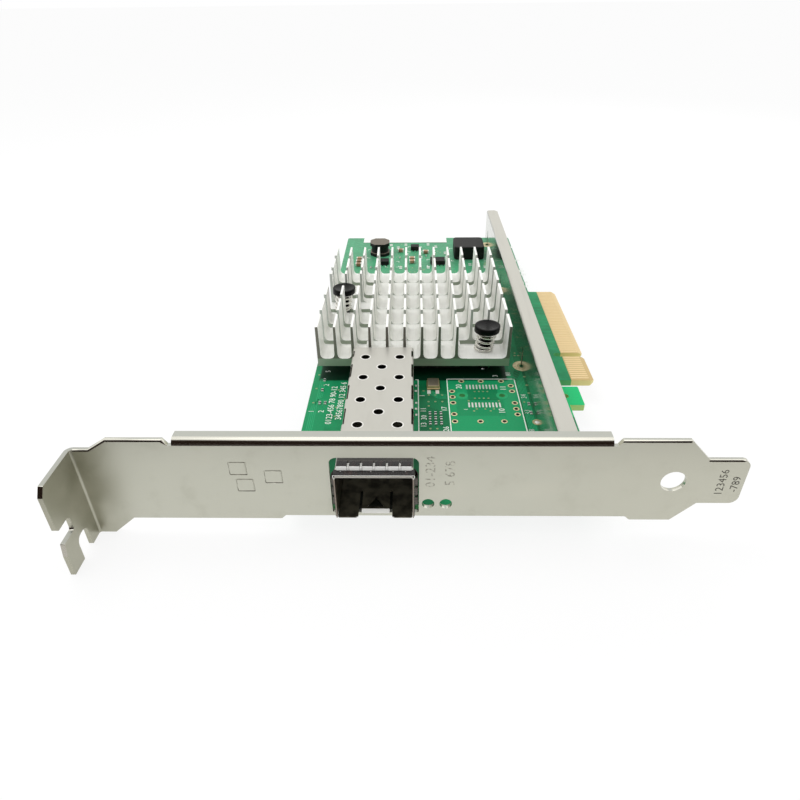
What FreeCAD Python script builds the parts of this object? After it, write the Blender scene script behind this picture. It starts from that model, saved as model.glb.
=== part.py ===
"""Single-port network interface card with a full-height bracket.

Frame: X runs from the card's top edge (X = 0) to its contact edge, Y runs from the bracket's outer
face (Y = 0) to the rear of the board, and Z = 0 is the component side of the board, +Z out of it.
All sizes are millimetres.
"""
import FreeCAD
import Part
import Sketcher
import math
import os

os.makedirs("parts", exist_ok=True)
doc = FreeCAD.newDocument("NetworkCard")
Vector = FreeCAD.Vector

# ---------------------------------------------------------------- driving dimensions

SIZES = {
    "circuit board": {
        "board_width": 60.65, "board_front": 1.4, "board_length": 145.96, "board_thick": 1.57,
        "finger_depth": 8.25, "key_y": 57.95, "key_width": 1.9, "key_root": 0.5,
        "short_row_count": 11, "long_row_count": 38, "contact_spacing": 1.0, "row_to_key": 1.5,
        "row_margin": 1.1,
        "contact_width": 0.7, "contact_length": 4.2, "contact_inset": 1.25, "copper_thick": 0.05,
        "bevel_length": 1.2, "bevel_drop": 0.45, "finger_corner": 0.9, "board_corner": 0.8,
        "hook_front": 34.6, "hook_width": 7.9, "hook_depth": 3.45, "hook_hole_y": 38.4,
        "hook_hole_radius": 0.9, "edge_relief": 0.6,
        "test_hole_x": 52.0, "test_hole_y": 27.8, "test_hole_radius": 0.6, "ring_width": 0.45,
        "screen_left": 33.8, "screen_right": 48.1, "screen_rear": 44.9, "screen_front": 28.1,
        "screen_middle": 41.05, "screen_hole_radius": 0.5, "screen_ring_width": 0.17,
        "hole_sides": 12, "small_hole_sides": 8,
    },
    "bracket": {
        "sheet": 0.86, "bracket_bottom": -2.22, "bracket_top": 16.2, "bracket_right": 83.35,
        "tab_inner_x": -35.85, "tab_depth": 10.6, "bend_radius": 0.45,
        "neck_bottom": -5.95, "neck_top": 13.98, "neck_x": -32.7, "shoulder_x": -28.3,
        "top_shoulder_x": -29.2, "tongue_bottom": 2.0, "tongue_top": 12.0, "tongue_slope": 4.0,
        "tongue_neck": 72.1, "tongue_corner": 1.6, "lower_step": 0.8, "lower_step_left": 0.6,
        "lower_step_right": 63.8, "flange_left": -17.6, "flange_right": 58.9, "flange_depth": 2.75,
        "relief_width": 1.6, "relief_depth": 1.2, "screw_notch_z": 2.9, "screw_notch_width": 3.3,
        "screw_notch_depth": 4.2, "notch_ease": 0.5, "guide_slot_y": -4.9, "guide_slot_width": 3.7,
        "guide_slot_top": -1.0, "tongue_hole_x": 70.8, "tongue_hole_z": 7.1,
        "tongue_hole_radius": 2.25, "light_hole_x": 27.2, "light_hole_pitch": 3.25,
        "light_hole_z": 1.6, "light_hole_radius": 1.15, "mouth_gap": 0.9, "mouth_top_gap": 2.6,
        "mouth_corner": 1.3,
        "mouth_low": 0.6, "ear_width": 7.0, "ear_length": 8.0, "ear_left_x": 4.6, "ear_right_x": 47.9,
        "screw_radius": 1.25, "screw_fit": 0.04, "screw_clear": 0.2, "screw_head_radius": 2.3,
        "screw_head_height": 1.2,
    },
    "cage": {
        "cage_x": 17.5, "cage_width": 14.2, "cage_height": 9.8, "cage_front": -2.1,
        "cage_length": 46.5, "cage_wall": 0.25, "cage_corner": 0.5, "vent_radius": 1.0,
        "vent_front_y": 4.63, "vent_rear_inset": 4.57, "vent_offset": 3.93, "vent_row_count": 5,
        "vent_sides": 14,
        "lock_slot_length": 5.4, "lock_slot_width": 0.5, "lock_slot_front_y": 4.9,
        "lock_slot_drop": 1.0,
        "latch_width": 5.2, "latch_slit": 0.5, "latch_slit_length": 4.8, "latch_front": 2.2,
        "latch_lip_run": 0.55, "latch_lip_drop": 0.65,
        "latch_hole_width": 3.2, "latch_hole_length": 2.5, "latch_hole_inset": 0.55,
        "pin_width": 0.7, "pin_drop": 2.4, "pin_clear": 0.15, "pin_front_y": 9.0, "pin_rear_inset": 5.4,
        "pin_count": 4, "spring_thick": 0.12, "spring_width": 1.85, "spring_spacing": 2.3,
        "spring_count": 6, "spring_side_count": 3, "spring_rise": 1.0, "spring_side_rise": 0.75,
        "spring_band": 1.6, "spring_length": 2.8, "floor_gap": 0.05,
        "socket_width": 10.2, "socket_depth": 8.6,
        "socket_height": 5.6, "socket_rear_gap": 0.6, "socket_slot_width": 8.6,
        "socket_slot_height": 1.5, "socket_slot_z": 2.2, "socket_slot_depth": 5.0,
        "socket_contact_count": 10, "socket_contact_spacing": 0.8, "socket_contact_width": 0.35,
        "socket_contact_thick": 0.15, "socket_contact_inset": 0.6,
    },
    "heat sink": {
        "sink_left": 1.17, "sink_clear": 2.8, "sink_base_z": 3.0, "sink_base": 2.1,
        "sink_top": 13.7, "fin_spacing": 4.18, "fin_thick": 0.8, "fin_tip": 0.55,
        "fin_column_count": 12, "fin_row_count": 6,
        "row_length": 6.95, "row_gap": 2.3, "foot_radius": 1.1, "side_zone": 11.6, "side_cut": 1.0,
        "pin_zone_depth": 8.3, "mill_depth": 0.05, "front_pin_x": 42.4, "front_pin_inset": 5.0,
        "rear_pin_x": 5.25, "rear_pin_inset": 27.9,
        "rear_zone_depth": 8.0, "rear_zone_width": 10.9,
        "pin_shank": 1.3, "pin_hole": 1.55, "pin_head_radius": 3.15, "pin_head_height": 1.4,
        "pin_head_z": 10.2, "pin_sides": 12, "pin_barb_radius": 1.95, "pin_barb_length": 2.6, "pin_slit": 0.7,
        "coil_radius": 2.25, "coil_wire": 0.32, "coil_turns": 4, "coil_steps": 9, "wire_sides": 5,
        "coil_clear": 0.03, "chip_side": 25.0,
        "chip_substrate": 1.2, "chip_lid_side": 21.0, "pad_thick": 0.3, "pad_side": 22.0,
    },
    "stiffener rail": {
        "rail_x": 52.0, "rail_front": 1.6, "rail_rear": 147.4, "rail_height": 10.4,
        "rail_width": 3.75, "rail_sheet": 0.6, "rail_bend": 0.5, "rail_chamfer": 1.0,
        "rail_hole_first": 52.1, "rail_hole_second": 99.0, "rail_hole_third": 139.6,
        "rail_hole_radius": 0.95, "rail_ring_radius": 2.5, "rail_slot_height": 5.0,
        "rail_slot_width": 1.0, "rail_lug_width": 0.75, "rail_lug_drop": 2.3,
    },
    "components": {
        "crystal_x": 27.8, "crystal_y": 41.0, "crystal_width": 3.15, "crystal_length": 4.0,
        "crystal_height": 1.0, "crystal_lid": 0.65, "crystal_lip": 0.2,
        "inductor_x": 39.0, "inductor_inset": 22.66, "inductor_side": 10.4, "inductor_height": 4.6,
        "inductor_corner": 1.2, "choke_x": 12.85, "choke_inset": 16.26, "choke_side": 6.7,
        "choke_height": 4.5, "choke_flange": 1.1, "choke_core": 3.0,
        "memory_x": 33.1, "memory_inset": 25.16, "memory_width": 5.0, "memory_length": 4.0,
        "regulator_x": 25.3, "regulator_inset": 11.96, "regulator_width": 3.0, "regulator_length": 3.0,
        "driver_x": 14.8, "driver_inset": 25.76, "driver_width": 2.9, "driver_length": 3.0,
        "package_height": 1.3, "package_lift": 0.1, "lead_width": 0.4, "lead_reach": 0.9,
        "lead_spacing": 1.27, "lead_thick": 0.2, "label_x": 6.2, "label_rear_gap": 0.26,
        "label_width": 31.0, "label_depth": 5.1, "label_thick": 0.12,
        "footprint_x": 41.0, "footprint_front_y": 34.6, "footprint_rear_y": 42.3,
        "footprint_spacing": 0.79, "footprint_pad_count": 10, "footprint_pad_width": 0.38,
        "footprint_pad_length": 1.9, "pad_lift": 0.04, "light_y": 5.0, "light_width": 1.6,
        "light_depth": 0.8, "light_height": 0.7, "capacitor_width": 2.1, "capacitor_length": 1.3,
        "capacitor_height": 1.1, "resistor_width": 0.55, "resistor_length": 1.0,
        "resistor_height": 0.35, "under_width": 0.8, "under_length": 1.6, "under_height": 0.7,
        "under_row_gap": 12.0, "left_bank_x": 5.9, "left_bank_inset": 27.86,
        "left_bank_spacing": 2.7, "middle_bank_x": 24.3, "middle_bank_inset": 25.26,
        "middle_bank_spacing": 2.9, "single_x": 29.2, "single_inset": 16.06, "pair_x": 20.2,
        "pair_inset": 14.66, "corner_x": 2.75, "corner_front_y": 35.2, "corner_middle_y": 40.7,
        "corner_rear_y": 45.2, "corner_spacing": 1.3, "grid_x": 28.3, "grid_y": 27.2,
        "grid_column_spacing": 1.25, "grid_row_spacing": 1.9, "grid_count": 3, "edge_gap": 0.8,
        "edge_first": 3.4, "edge_spacing": 3.6, "rear_first_x": 20.0, "rear_first_inset": 20.86,
        "rear_first_spacing": 2.4, "rear_second_x": 10.2, "rear_second_inset": 29.76,
        "rear_second_spacing": 1.6, "rear_third_x": 29.3, "rear_third_inset": 19.16,
        "rear_third_spacing": 2.1,
    },
}


class Size:
    """A number together with the spreadsheet expression that gives it."""

    def __init__(self, value, text):
        self.value = value
        self.text = text

    def __float__(self):
        return float(self.value)

    def __add__(self, other):
        other = size(other)
        return Size(self.value + other.value, f"({self.text} + {other.text})")

    def __sub__(self, other):
        other = size(other)
        return Size(self.value - other.value, f"({self.text} - {other.text})")

    def __mul__(self, other):
        other = size(other)
        return Size(self.value * other.value, f"({self.text} * {other.text})")

    def __truediv__(self, other):
        other = size(other)
        return Size(self.value / other.value, f"({self.text} / {other.text})")

    def __radd__(self, other):
        return size(other) + self

    def __rsub__(self, other):
        return size(other) - self

    def __rmul__(self, other):
        return size(other) * self

    def __neg__(self):
        return size(0) - self


def size(value):
    return value if isinstance(value, Size) else Size(float(value), repr(float(value)))


class Sheet:
    """The document's spreadsheet: one alias for each driving dimension."""

    def __init__(self, groups):
        self.object = doc.addObject("Spreadsheet::Sheet", "Sizes")
        row = 1
        for group, entries in groups.items():
            self.object.set(f"A{row}", group)
            row += 1
            for name, value in entries.items():
                self.object.set(f"A{row}", name)
                self.object.set(f"B{row}", str(value))
                self.object.setAlias(f"B{row}", name)
                row += 1
        doc.recompute()

    def __getattr__(self, name):
        return Size(float(self.object.get(name)), f"Sizes.{name}")

    def whole(self, name):
        return round(float(self.object.get(name)))


S = Sheet(SIZES)
SUB_PARTS = []


# ---------------------------------------------------------------- modelling helpers

def bind(item, path, value):
    """Tie one property of a document object to the spreadsheet."""
    value = size(value)
    if "Sizes." in value.text:
        item.setExpression(path, value.text)
    elif "." in path:
        item.setExpression(path, value.text)
    else:
        setattr(item, path, value.value)


def place(item, position):
    for axis, value in zip("xyz", position):
        bind(item, f".Placement.Base.{axis}", value)


def box(name, corner, spans):
    item = doc.addObject("Part::Box", name)
    for path, value in zip(("Length", "Width", "Height"), spans):
        bind(item, path, value)
    place(item, corner)
    return item


def fuse(name, pieces):
    item = doc.addObject("Part::MultiFuse", name)
    item.Shapes = pieces
    return item


def sub_part(item, label):
    item.Label = label
    SUB_PARTS.append(item)
    return item


def shape_part(label, shape, position=(0, 0, 0)):
    """A sub-part made with Part's own functions."""
    item = doc.addObject("Part::Feature", "Solid_" + label)
    item.Shape = shape
    item.Placement = FreeCAD.Placement()
    place(item, position)
    return sub_part(item, label)


def body(label):
    item = doc.addObject("PartDesign::Body", "Body_" + label)
    return sub_part(item, label)


def sketch(owner, name, plane, offset=0):
    item = owner.newObject("Sketcher::SketchObject", name)
    support = next(f for f in owner.Origin.OriginFeatures if f.Role == plane)
    item.AttachmentSupport = [(support, "")]
    item.MapMode = "FlatFace"
    bind(item, ".AttachmentOffset.Base.z", offset)
    return item


def point(pair):
    return Vector(float(pair[0]), float(pair[1]), 0)


def rounded(corners, chords=0):
    """Edges of a closed outline; a corner (x, y, radius) is rounded with that radius.

    The corner is a true arc, or a few straight chords of it where a small corner repeats often.
    """
    starts = []
    ends = []
    arcs = []
    count = len(corners)
    for index, corner in enumerate(corners):
        here = point(corner)
        radius = float(corner[2]) if len(corner) > 2 else 0.0
        if radius == 0.0:
            starts.append(here)
            ends.append(here)
            arcs.append(None)
            continue
        back = (point(corners[index - 1]) - here).normalize()
        onward = (point(corners[(index + 1) % count]) - here).normalize()
        half = back.getAngle(onward) / 2
        reach = radius / math.tan(half)
        bisector = (back + onward).normalize()
        distance = (radius ** 2 + reach ** 2) ** 0.5
        starts.append(here + back * reach)
        ends.append(here + onward * reach)
        arcs.append(here + bisector * (distance - radius))
    edges = []
    for index in range(count):
        if arcs[index] is not None:
            arc = Part.Arc(starts[index], arcs[index], ends[index])
            edges += chords_of(arc, chords) if chords else [arc]
        following = starts[(index + 1) % count]
        if (following - ends[index]).Length > 1e-6:
            edges.append(Part.LineSegment(ends[index], following))
    return edges


def chords_of(arc, count):
    span = arc.LastParameter - arc.FirstParameter
    points = [arc.value(arc.FirstParameter + span * index / count) for index in range(count + 1)]
    return [Part.LineSegment(near, far) for near, far in zip(points, points[1:])]


def draw(item, edges, first=0):
    """Put a closed chain of edges into a sketch and join their ends.

    A sketch stores an arc anticlockwise, so a clockwise one has its start and end swapped.
    """
    item.addGeometry(edges, False)
    count = len(edges)
    swapped = []
    for index, edge in enumerate(edges):
        chain_start = edge.value(edge.FirstParameter)
        swapped.append((item.getPoint(first + index, 1) - chain_start).Length > 1e-6)
    joints = []
    for index in range(count):
        following = (index + 1) % count
        end = 1 if swapped[index] else 2
        start = 2 if swapped[following] else 1
        joints.append(Sketcher.Constraint("Coincident", first + index, end, first + following, start))
    item.addConstraint(joints)
    return first + count


def draw_outline(item, corners, first=0, chords=0):
    return draw(item, rounded(corners, chords), first)


def draw_polygon(item, x, y, radius, sides, first=0):
    """A small round hole, drawn with a few sides, that has the circle's own area."""
    return draw_outline(item, polygon(x, y, radius, sides), first)


def polygon(x, y, radius, sides):
    turn = 2 * math.pi / sides
    reach = float(radius) * math.sqrt(turn / math.sin(turn))
    return [(float(x) + reach * math.cos(turn * (index + 0.5)),
             float(y) + reach * math.sin(turn * (index + 0.5))) for index in range(sides)]


def rectangle(x, y, width, depth):
    x, y, width, depth = float(x), float(y), float(width), float(depth)
    return [(x, y), (x + width, y), (x + width, y + depth), (x, y + depth)]


def draw_circle(item, x, y, radius, first=0):
    circle = Part.Circle(Vector(float(x), float(y), 0), Vector(0, 0, 1), float(radius))
    item.addGeometry(circle, False)
    item.addConstraint(Sketcher.Constraint("Radius", first, float(radius)))
    item.setExpression(f"Constraints[{item.ConstraintCount - 1}]", size(radius).text)
    return first + 1


def pad(owner, profile, length, backwards=False):
    item = owner.newObject("PartDesign::Pad", "Pad_" + profile.Name)
    item.Profile = profile
    bind(item, "Length", length)
    item.Reversed = backwards
    doc.recompute()
    return item


def pocket(owner, profile, length, backwards=False):
    """Cut a sketch into its body and make sure that something was removed."""
    doc.recompute()
    before = owner.Shape.Volume
    item = owner.newObject("PartDesign::Pocket", "Pocket_" + profile.Name)
    item.Profile = profile
    bind(item, "Length", length)
    item.Reversed = backwards
    doc.recompute()
    if not owner.Shape.Volume < before:
        raise RuntimeError(f"{profile.Name} cuts nothing")
    return item


def block(x, y, z, width, depth, height):
    corner = Vector(float(x), float(y), float(z))
    return Part.makeBox(float(width), float(depth), float(height), corner)


def turned(profile, centre, sides):
    """A solid about a vertical axis from (radius, height) pairs that run from top to bottom."""
    solids = []
    for (upper, top), (lower, bottom) in zip(profile, profile[1:]):
        if abs(float(top) - float(bottom)) < 1e-6:
            continue
        rings = []
        for radius, level in ((lower, bottom), (upper, top)):
            points = [Vector(x, y, float(level)) for x, y in polygon(*centre, radius, sides)]
            rings.append(Part.makePolygon(points + points[:1]))
        solids.append(Part.makeLoft(rings, True, True))
    return solids[0].multiFuse(solids[1:]).removeSplitter() if len(solids) > 1 else solids[0]


def flat_ring(x, y, inner, outer, sides):
    """A thin flat ring that lies on the board."""
    discs = []
    for radius in (outer, inner):
        corners = [Vector(*corner, 0) for corner in polygon(x, y, radius, sides)]
        discs.append(Part.Face(Part.makePolygon(corners + corners[:1])))
    return discs[0].cut(discs[1]).Faces[0].extrude(Vector(0, 0, float(S.pad_lift)))


# ---------------------------------------------------------------- circuit board

board_right = S.board_width
finger_tip = S.board_width + S.finger_depth
board_rear = S.board_front + S.board_length
key_front = S.key_y - S.key_width / 2
key_rear = S.key_y + S.key_width / 2
short_last = S.key_y - S.row_to_key
long_first = S.key_y + S.row_to_key
short_span = S.contact_spacing * (S.whole("short_row_count") - 1)
long_span = S.contact_spacing * (S.whole("long_row_count") - 1)
fingers_front = short_last - short_span - S.row_margin
fingers_rear = long_first + long_span + S.row_margin
hook_rear = S.hook_front + S.hook_width
hook_tip = S.board_width + S.hook_depth
rail_centre = S.rail_x + S.rail_sheet / 2
rail_hole_rows = (S.rail_hole_first, S.rail_hole_second, S.rail_hole_third)
cage_rear = S.cage_front + S.cage_length
sink_front = cage_rear + S.sink_clear
front_pin = (S.front_pin_x, sink_front + S.front_pin_inset)
rear_pin = (S.rear_pin_x, sink_front + S.rear_pin_inset)
ear_screw_y = S.sheet + S.ear_length * 0.6
ear_screws = ((S.ear_left_x, ear_screw_y), (S.ear_right_x, ear_screw_y))
pin_spacing = (cage_rear - S.pin_rear_inset - S.pin_front_y) / (S.whole("pin_count") - 1)
pin_rows = [S.pin_front_y + pin_spacing * index for index in range(S.whole("pin_count"))]
cage_left = S.cage_x - S.cage_width / 2
cage_right = S.cage_x + S.cage_width / 2
cage_pin_x = (cage_left, cage_right - S.cage_wall)
screen_holes = [(S.screen_left, S.screen_front + rise) for rise in (0, 2.8, 7.4, 9.8, 12.3)]
screen_holes += [(S.screen_right, S.screen_front + rise) for rise in (2.7, 4.9, 7.3, 12.3, 14.7)]
screen_holes += [(S.screen_middle + shift, S.screen_front) for shift in (-1.55, 3.75)]
screen_holes += [(S.screen_middle + shift, S.screen_rear) for shift in (-4.75, 0, 4.95)]


def make_board():
    board = body("circuit_board")
    outline = sketch(board, "board_outline", "XY_Plane", -S.board_thick)
    corner = S.board_corner
    relief = board_right - S.edge_relief
    draw_outline(outline, [
        (0, S.board_front, corner), (board_right, S.board_front, corner),
        (board_right, S.hook_front), (hook_tip, S.hook_front, 0.3), (hook_tip, hook_rear, 0.3),
        (relief, hook_rear, S.edge_relief), (relief, fingers_front, S.edge_relief),
        (finger_tip - S.finger_corner, fingers_front), (finger_tip, fingers_front + S.finger_corner),
        (finger_tip, key_front - S.finger_corner / 2), (finger_tip - S.finger_corner / 2, key_front),
        (board_right + S.key_root, key_front, S.key_width / 2.01),
        (board_right + S.key_root, key_rear, S.key_width / 2.01),
        (finger_tip - S.finger_corner / 2, key_rear), (finger_tip, key_rear + S.finger_corner / 2),
        (finger_tip, fingers_rear - S.finger_corner), (finger_tip - S.finger_corner, fingers_rear),
        (board_right, fingers_rear, S.edge_relief), (board_right, board_rear, corner),
        (0, board_rear, corner)], chords=4)
    pad(board, outline, S.board_thick)

    bevel = sketch(board, "finger_bevel", "XZ_Plane", -(fingers_rear + 1))
    slope_start = finger_tip - S.bevel_length
    bottom = -S.board_thick
    count = draw_outline(bevel, [(slope_start, 0), (finger_tip, -S.bevel_drop), (finger_tip + 1, 1)])
    draw_outline(bevel, [(slope_start, bottom), (finger_tip + 1, bottom - 1),
                         (finger_tip, bottom + S.bevel_drop)], count)
    pocket(board, bevel, fingers_rear - fingers_front + 2, backwards=True)

    holes = sketch(board, "round_holes", "XY_Plane")
    count = 0
    sides = S.whole("hole_sides")
    for x, y in (front_pin, rear_pin):
        count = draw_polygon(holes, x, y, S.pin_hole, sides, count)
    for x, y in ear_screws:
        count = draw_polygon(holes, x, y, S.screw_radius + S.screw_clear, sides, count)
    count = draw_polygon(holes, S.test_hole_x, S.test_hole_y, S.test_hole_radius, sides, count)
    count = draw_polygon(holes, board_right - 0.4, S.hook_hole_y, S.hook_hole_radius, sides, count)
    for row in rail_hole_rows:
        count = draw_polygon(holes, rail_centre, row, S.rail_hole_radius, sides, count)
    sides = S.whole("small_hole_sides")
    for x, y in screen_holes:
        count = draw_polygon(holes, x, y, S.screen_hole_radius, sides, count)
    pocket(board, holes, S.board_thick)

    slots = sketch(board, "cage_pin_slots", "XY_Plane")
    count = 0
    for x in cage_pin_x:
        for y in pin_rows:
            slot = rectangle(x - S.pin_clear, y - S.pin_clear,
                             S.cage_wall + 2 * S.pin_clear, S.pin_width + 2 * S.pin_clear)
            count = draw_outline(slots, slot, count)
    pocket(board, slots, S.board_thick)


def contact_rows():
    rows = [short_last - S.contact_spacing * index for index in range(S.whole("short_row_count"))]
    rows += [long_first + S.contact_spacing * index for index in range(S.whole("long_row_count"))]
    return rows


def make_contacts(label, height):
    """Gold contacts of one side of the edge connector, lying on the board."""
    start = finger_tip - S.contact_inset - S.contact_length
    strips = [block(start, row - S.contact_width / 2, height,
                    S.contact_length, S.contact_width, S.copper_thick) for row in contact_rows()]
    shape_part(label, Part.makeCompound(strips))


def make_rings():
    """Plated rings round the rail's holes, the test hole and the screening can's holes."""
    sides = S.whole("hole_sides")
    small = S.whole("small_hole_sides")
    rings = [flat_ring(rail_centre, row, S.rail_hole_radius, S.rail_ring_radius, sides)
             for row in rail_hole_rows]
    rings.append(flat_ring(S.test_hole_x, S.test_hole_y, S.test_hole_radius,
                           S.test_hole_radius + S.ring_width, sides))
    for x, y in screen_holes:
        rings.append(flat_ring(x, y, S.screen_hole_radius,
                               S.screen_hole_radius + S.screen_ring_width, small))
    shape_part("plated_rings", Part.makeCompound(rings))


def make_footprint():
    """Bare pads of a twenty-lead package that isn't fitted."""
    count = S.whole("footprint_pad_count")
    left = S.footprint_x - S.footprint_spacing * (count - 1) / 2 - S.footprint_pad_width / 2
    pads = []
    for row in (S.footprint_front_y, S.footprint_rear_y):
        for index in range(count):
            pads.append(block(left + S.footprint_spacing * index, row - S.footprint_pad_length / 2, 0,
                              S.footprint_pad_width, S.footprint_pad_length, S.pad_lift))
    shape_part("footprint_pads", Part.makeCompound(pads))


# ---------------------------------------------------------------- bracket

tab_outer_x = S.tab_inner_x - S.sheet
bend_outer = S.bend_radius + S.sheet
plate_left = S.tab_inner_x + S.bend_radius
flange_bend = S.bend_radius + S.sheet
mouth_left = cage_left - S.mouth_gap
mouth_right = cage_right + S.mouth_gap
mouth_top = S.cage_height + S.mouth_top_gap
mouth_bottom = -S.mouth_low


def make_bracket():
    bracket = body("bracket")
    plate = sketch(bracket, "plate_outline", "XZ_Plane", -S.sheet)
    step = S.bracket_bottom + S.lower_step
    straight_top = S.bracket_top - flange_bend
    relief_left = S.flange_left - S.relief_width
    relief_right = S.flange_right + S.relief_width
    relief_z = S.bracket_top - S.relief_depth
    slope = S.tongue_slope
    right = S.bracket_right
    draw_outline(plate, [
        (plate_left, S.neck_bottom), (S.neck_x, S.neck_bottom), (S.shoulder_x, S.bracket_bottom),
        (S.lower_step_left - S.lower_step, S.bracket_bottom), (S.lower_step_left, step),
        (S.lower_step_right, step), (S.lower_step_right + S.lower_step, S.bracket_bottom),
        (S.tongue_neck, S.bracket_bottom), (S.tongue_neck + slope, S.tongue_bottom),
        (right, S.tongue_bottom, S.tongue_corner), (right, S.tongue_top, S.tongue_corner),
        (S.tongue_neck + slope, S.tongue_top), (S.tongue_neck, S.bracket_top),
        (relief_right, S.bracket_top), (S.flange_right + S.relief_width / 2, relief_z),
        (S.flange_right, relief_z), (S.flange_right, straight_top),
        (S.flange_left, straight_top), (S.flange_left, relief_z),
        (S.flange_left - S.relief_width / 2, relief_z), (relief_left, S.bracket_top),
        (S.top_shoulder_x, S.bracket_top), (S.neck_x, S.neck_top), (plate_left, S.neck_top)])
    pad(bracket, plate, S.sheet)

    bend = sketch(bracket, "tab_section", "XY_Plane", S.neck_bottom)
    draw(bend, tab_section())
    pad(bracket, bend, S.neck_top - S.neck_bottom)

    flange = sketch(bracket, "flange_section", "YZ_Plane", S.flange_left)
    draw(flange, flange_section())
    pad(bracket, flange, S.flange_right - S.flange_left)

    cut_tab(bracket)
    cut_plate(bracket)
    add_ears(bracket)


def tab_section():
    """Section of the tab and of its bend to the plate, in plan."""
    centre = Vector(float(plate_left), -float(S.bend_radius), 0)
    diagonal = Vector(-1, 1, 0).normalize()
    inner = float(S.bend_radius)
    outer = float(bend_outer)
    tip = -float(S.tab_depth)
    plate_x = float(plate_left)
    inner_x = float(S.tab_inner_x)
    outer_x = float(tab_outer_x)
    thick = float(S.sheet)
    overlap = 0.2
    start_in = Vector(plate_x, 0, 0)
    start_out = Vector(plate_x, thick, 0)
    foot_in = Vector(inner_x, -inner, 0)
    foot_out = Vector(outer_x, -inner, 0)
    return [
        Part.LineSegment(start_out, Vector(plate_x + overlap, thick, 0)),
        Part.LineSegment(Vector(plate_x + overlap, thick, 0), Vector(plate_x + overlap, 0, 0)),
        Part.LineSegment(Vector(plate_x + overlap, 0, 0), start_in),
        Part.Arc(start_in, centre + diagonal * inner, foot_in),
        Part.LineSegment(foot_in, Vector(inner_x, tip, 0)),
        Part.LineSegment(Vector(inner_x, tip, 0), Vector(outer_x, tip, 0)),
        Part.LineSegment(Vector(outer_x, tip, 0), foot_out),
        Part.Arc(foot_out, centre + diagonal * outer, start_out),
    ]


def flange_section():
    """Section of the stiffening flange along the top of the plate."""
    top = float(S.bracket_top)
    thick = float(S.sheet)
    inner = float(S.bend_radius)
    outer = float(flange_bend)
    depth = float(S.flange_depth)
    diagonal = Vector(-1, 1, 0).normalize()
    centre = Vector(outer, top - outer, 0)
    overlap = 0.2
    low = top - outer
    return [
        Part.LineSegment(Vector(thick, low, 0), Vector(thick, low - overlap, 0)),
        Part.LineSegment(Vector(thick, low - overlap, 0), Vector(0, low - overlap, 0)),
        Part.LineSegment(Vector(0, low - overlap, 0), Vector(0, low, 0)),
        Part.Arc(Vector(0, low, 0), centre + diagonal * outer, Vector(outer, top, 0)),
        Part.LineSegment(Vector(outer, top, 0), Vector(depth, top, 0)),
        Part.LineSegment(Vector(depth, top, 0), Vector(depth, top - thick, 0)),
        Part.LineSegment(Vector(depth, top - thick, 0), Vector(outer, top - thick, 0)),
        Part.Arc(Vector(outer, top - thick, 0), centre + diagonal * inner, Vector(thick, low, 0)),
    ]


def cut_tab(bracket):
    """Screw notch, guide slot and rounded corner of the tab."""
    notches = sketch(bracket, "tab_notches", "YZ_Plane", tab_outer_x - 1)
    tip = -S.tab_depth
    half = S.screw_notch_width / 2
    inner = tip + S.screw_notch_depth
    low = S.screw_notch_z - half
    high = S.screw_notch_z + half
    ease = S.notch_ease
    count = draw_outline(notches, [
        (tip - 1, low - 5 * ease), (tip, low - 5 * ease), (tip + ease, low),
        (inner, low, ease), (inner, high, 2 * ease), (tip + ease, high), (tip, high + ease),
        (tip - 1, high + ease)], chords=3)
    slot_half = S.guide_slot_width / 2
    count = draw_outline(notches, [
        (S.guide_slot_y - slot_half, S.neck_bottom - 1), (S.guide_slot_y + slot_half, S.neck_bottom - 1),
        (S.guide_slot_y + slot_half, S.guide_slot_top, 1.5),
        (S.guide_slot_y - slot_half, S.guide_slot_top, 1.5)], count, 4)
    count = draw_outline(notches, [
        (tip - 1, S.neck_top - 1.6), (tip, S.neck_top - 1.6), (tip + 1.2, S.neck_top),
        (tip + 1.2, S.neck_top + 1), (tip - 1, S.neck_top + 1)], count)
    pocket(bracket, notches, S.sheet + 2, backwards=True)


def cut_plate(bracket):
    """Cage mouth, light holes and screw hole."""
    openings = sketch(bracket, "plate_openings", "XZ_Plane")
    count = draw_outline(openings, [
        (mouth_left, mouth_bottom, 0.4), (mouth_right, mouth_bottom, 0.4),
        (mouth_right, mouth_top, S.mouth_corner), (mouth_left, mouth_top, S.mouth_corner)], chords=4)
    for index in range(2):
        x = S.light_hole_x + S.light_hole_pitch * index
        count = draw_circle(openings, x, S.light_hole_z, S.light_hole_radius, count)
    draw_circle(openings, S.tongue_hole_x, S.tongue_hole_z, S.tongue_hole_radius, count)
    pocket(bracket, openings, S.sheet)


def add_ears(bracket):
    """Two ears that lie on the board and take the mounting screws."""
    ears = sketch(bracket, "ear_plan", "XY_Plane")
    half = S.ear_width / 2
    rear = S.sheet + S.ear_length
    count = 0
    for x in (S.ear_left_x, S.ear_right_x):
        count = draw_outline(ears, [
            (x - half, S.sheet / 2), (x + half, S.sheet / 2), (x + half, rear, 1.2),
            (x - half, rear, 1.2)], count, 4)
    pad(bracket, ears, S.sheet)
    holes = sketch(bracket, "ear_holes", "XY_Plane", S.sheet)
    count = 0
    for x, y in ear_screws:
        count = draw_circle(holes, x, y, S.screw_radius, count)
    pocket(bracket, holes, S.sheet)


def make_bracket_screws():
    """Pan-head screws from the solder side into the ears."""
    seat = -S.board_thick
    head = seat - S.screw_head_height
    screws = []
    for centre in ear_screws:
        shank = S.screw_radius - S.screw_fit
        profile = [(0, S.sheet), (shank, S.sheet), (shank, seat),
                   (S.screw_head_radius, seat), (S.screw_head_radius, head + 0.5),
                   (S.screw_head_radius - 0.6, head), (0, head)]
        screws.append(turned(profile, centre, S.whole("hole_sides")))
    shape_part("bracket_screws", Part.makeCompound(screws))


# ---------------------------------------------------------------- transceiver cage

inner_left = cage_left + S.cage_wall
inner_right = cage_right - S.cage_wall


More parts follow.
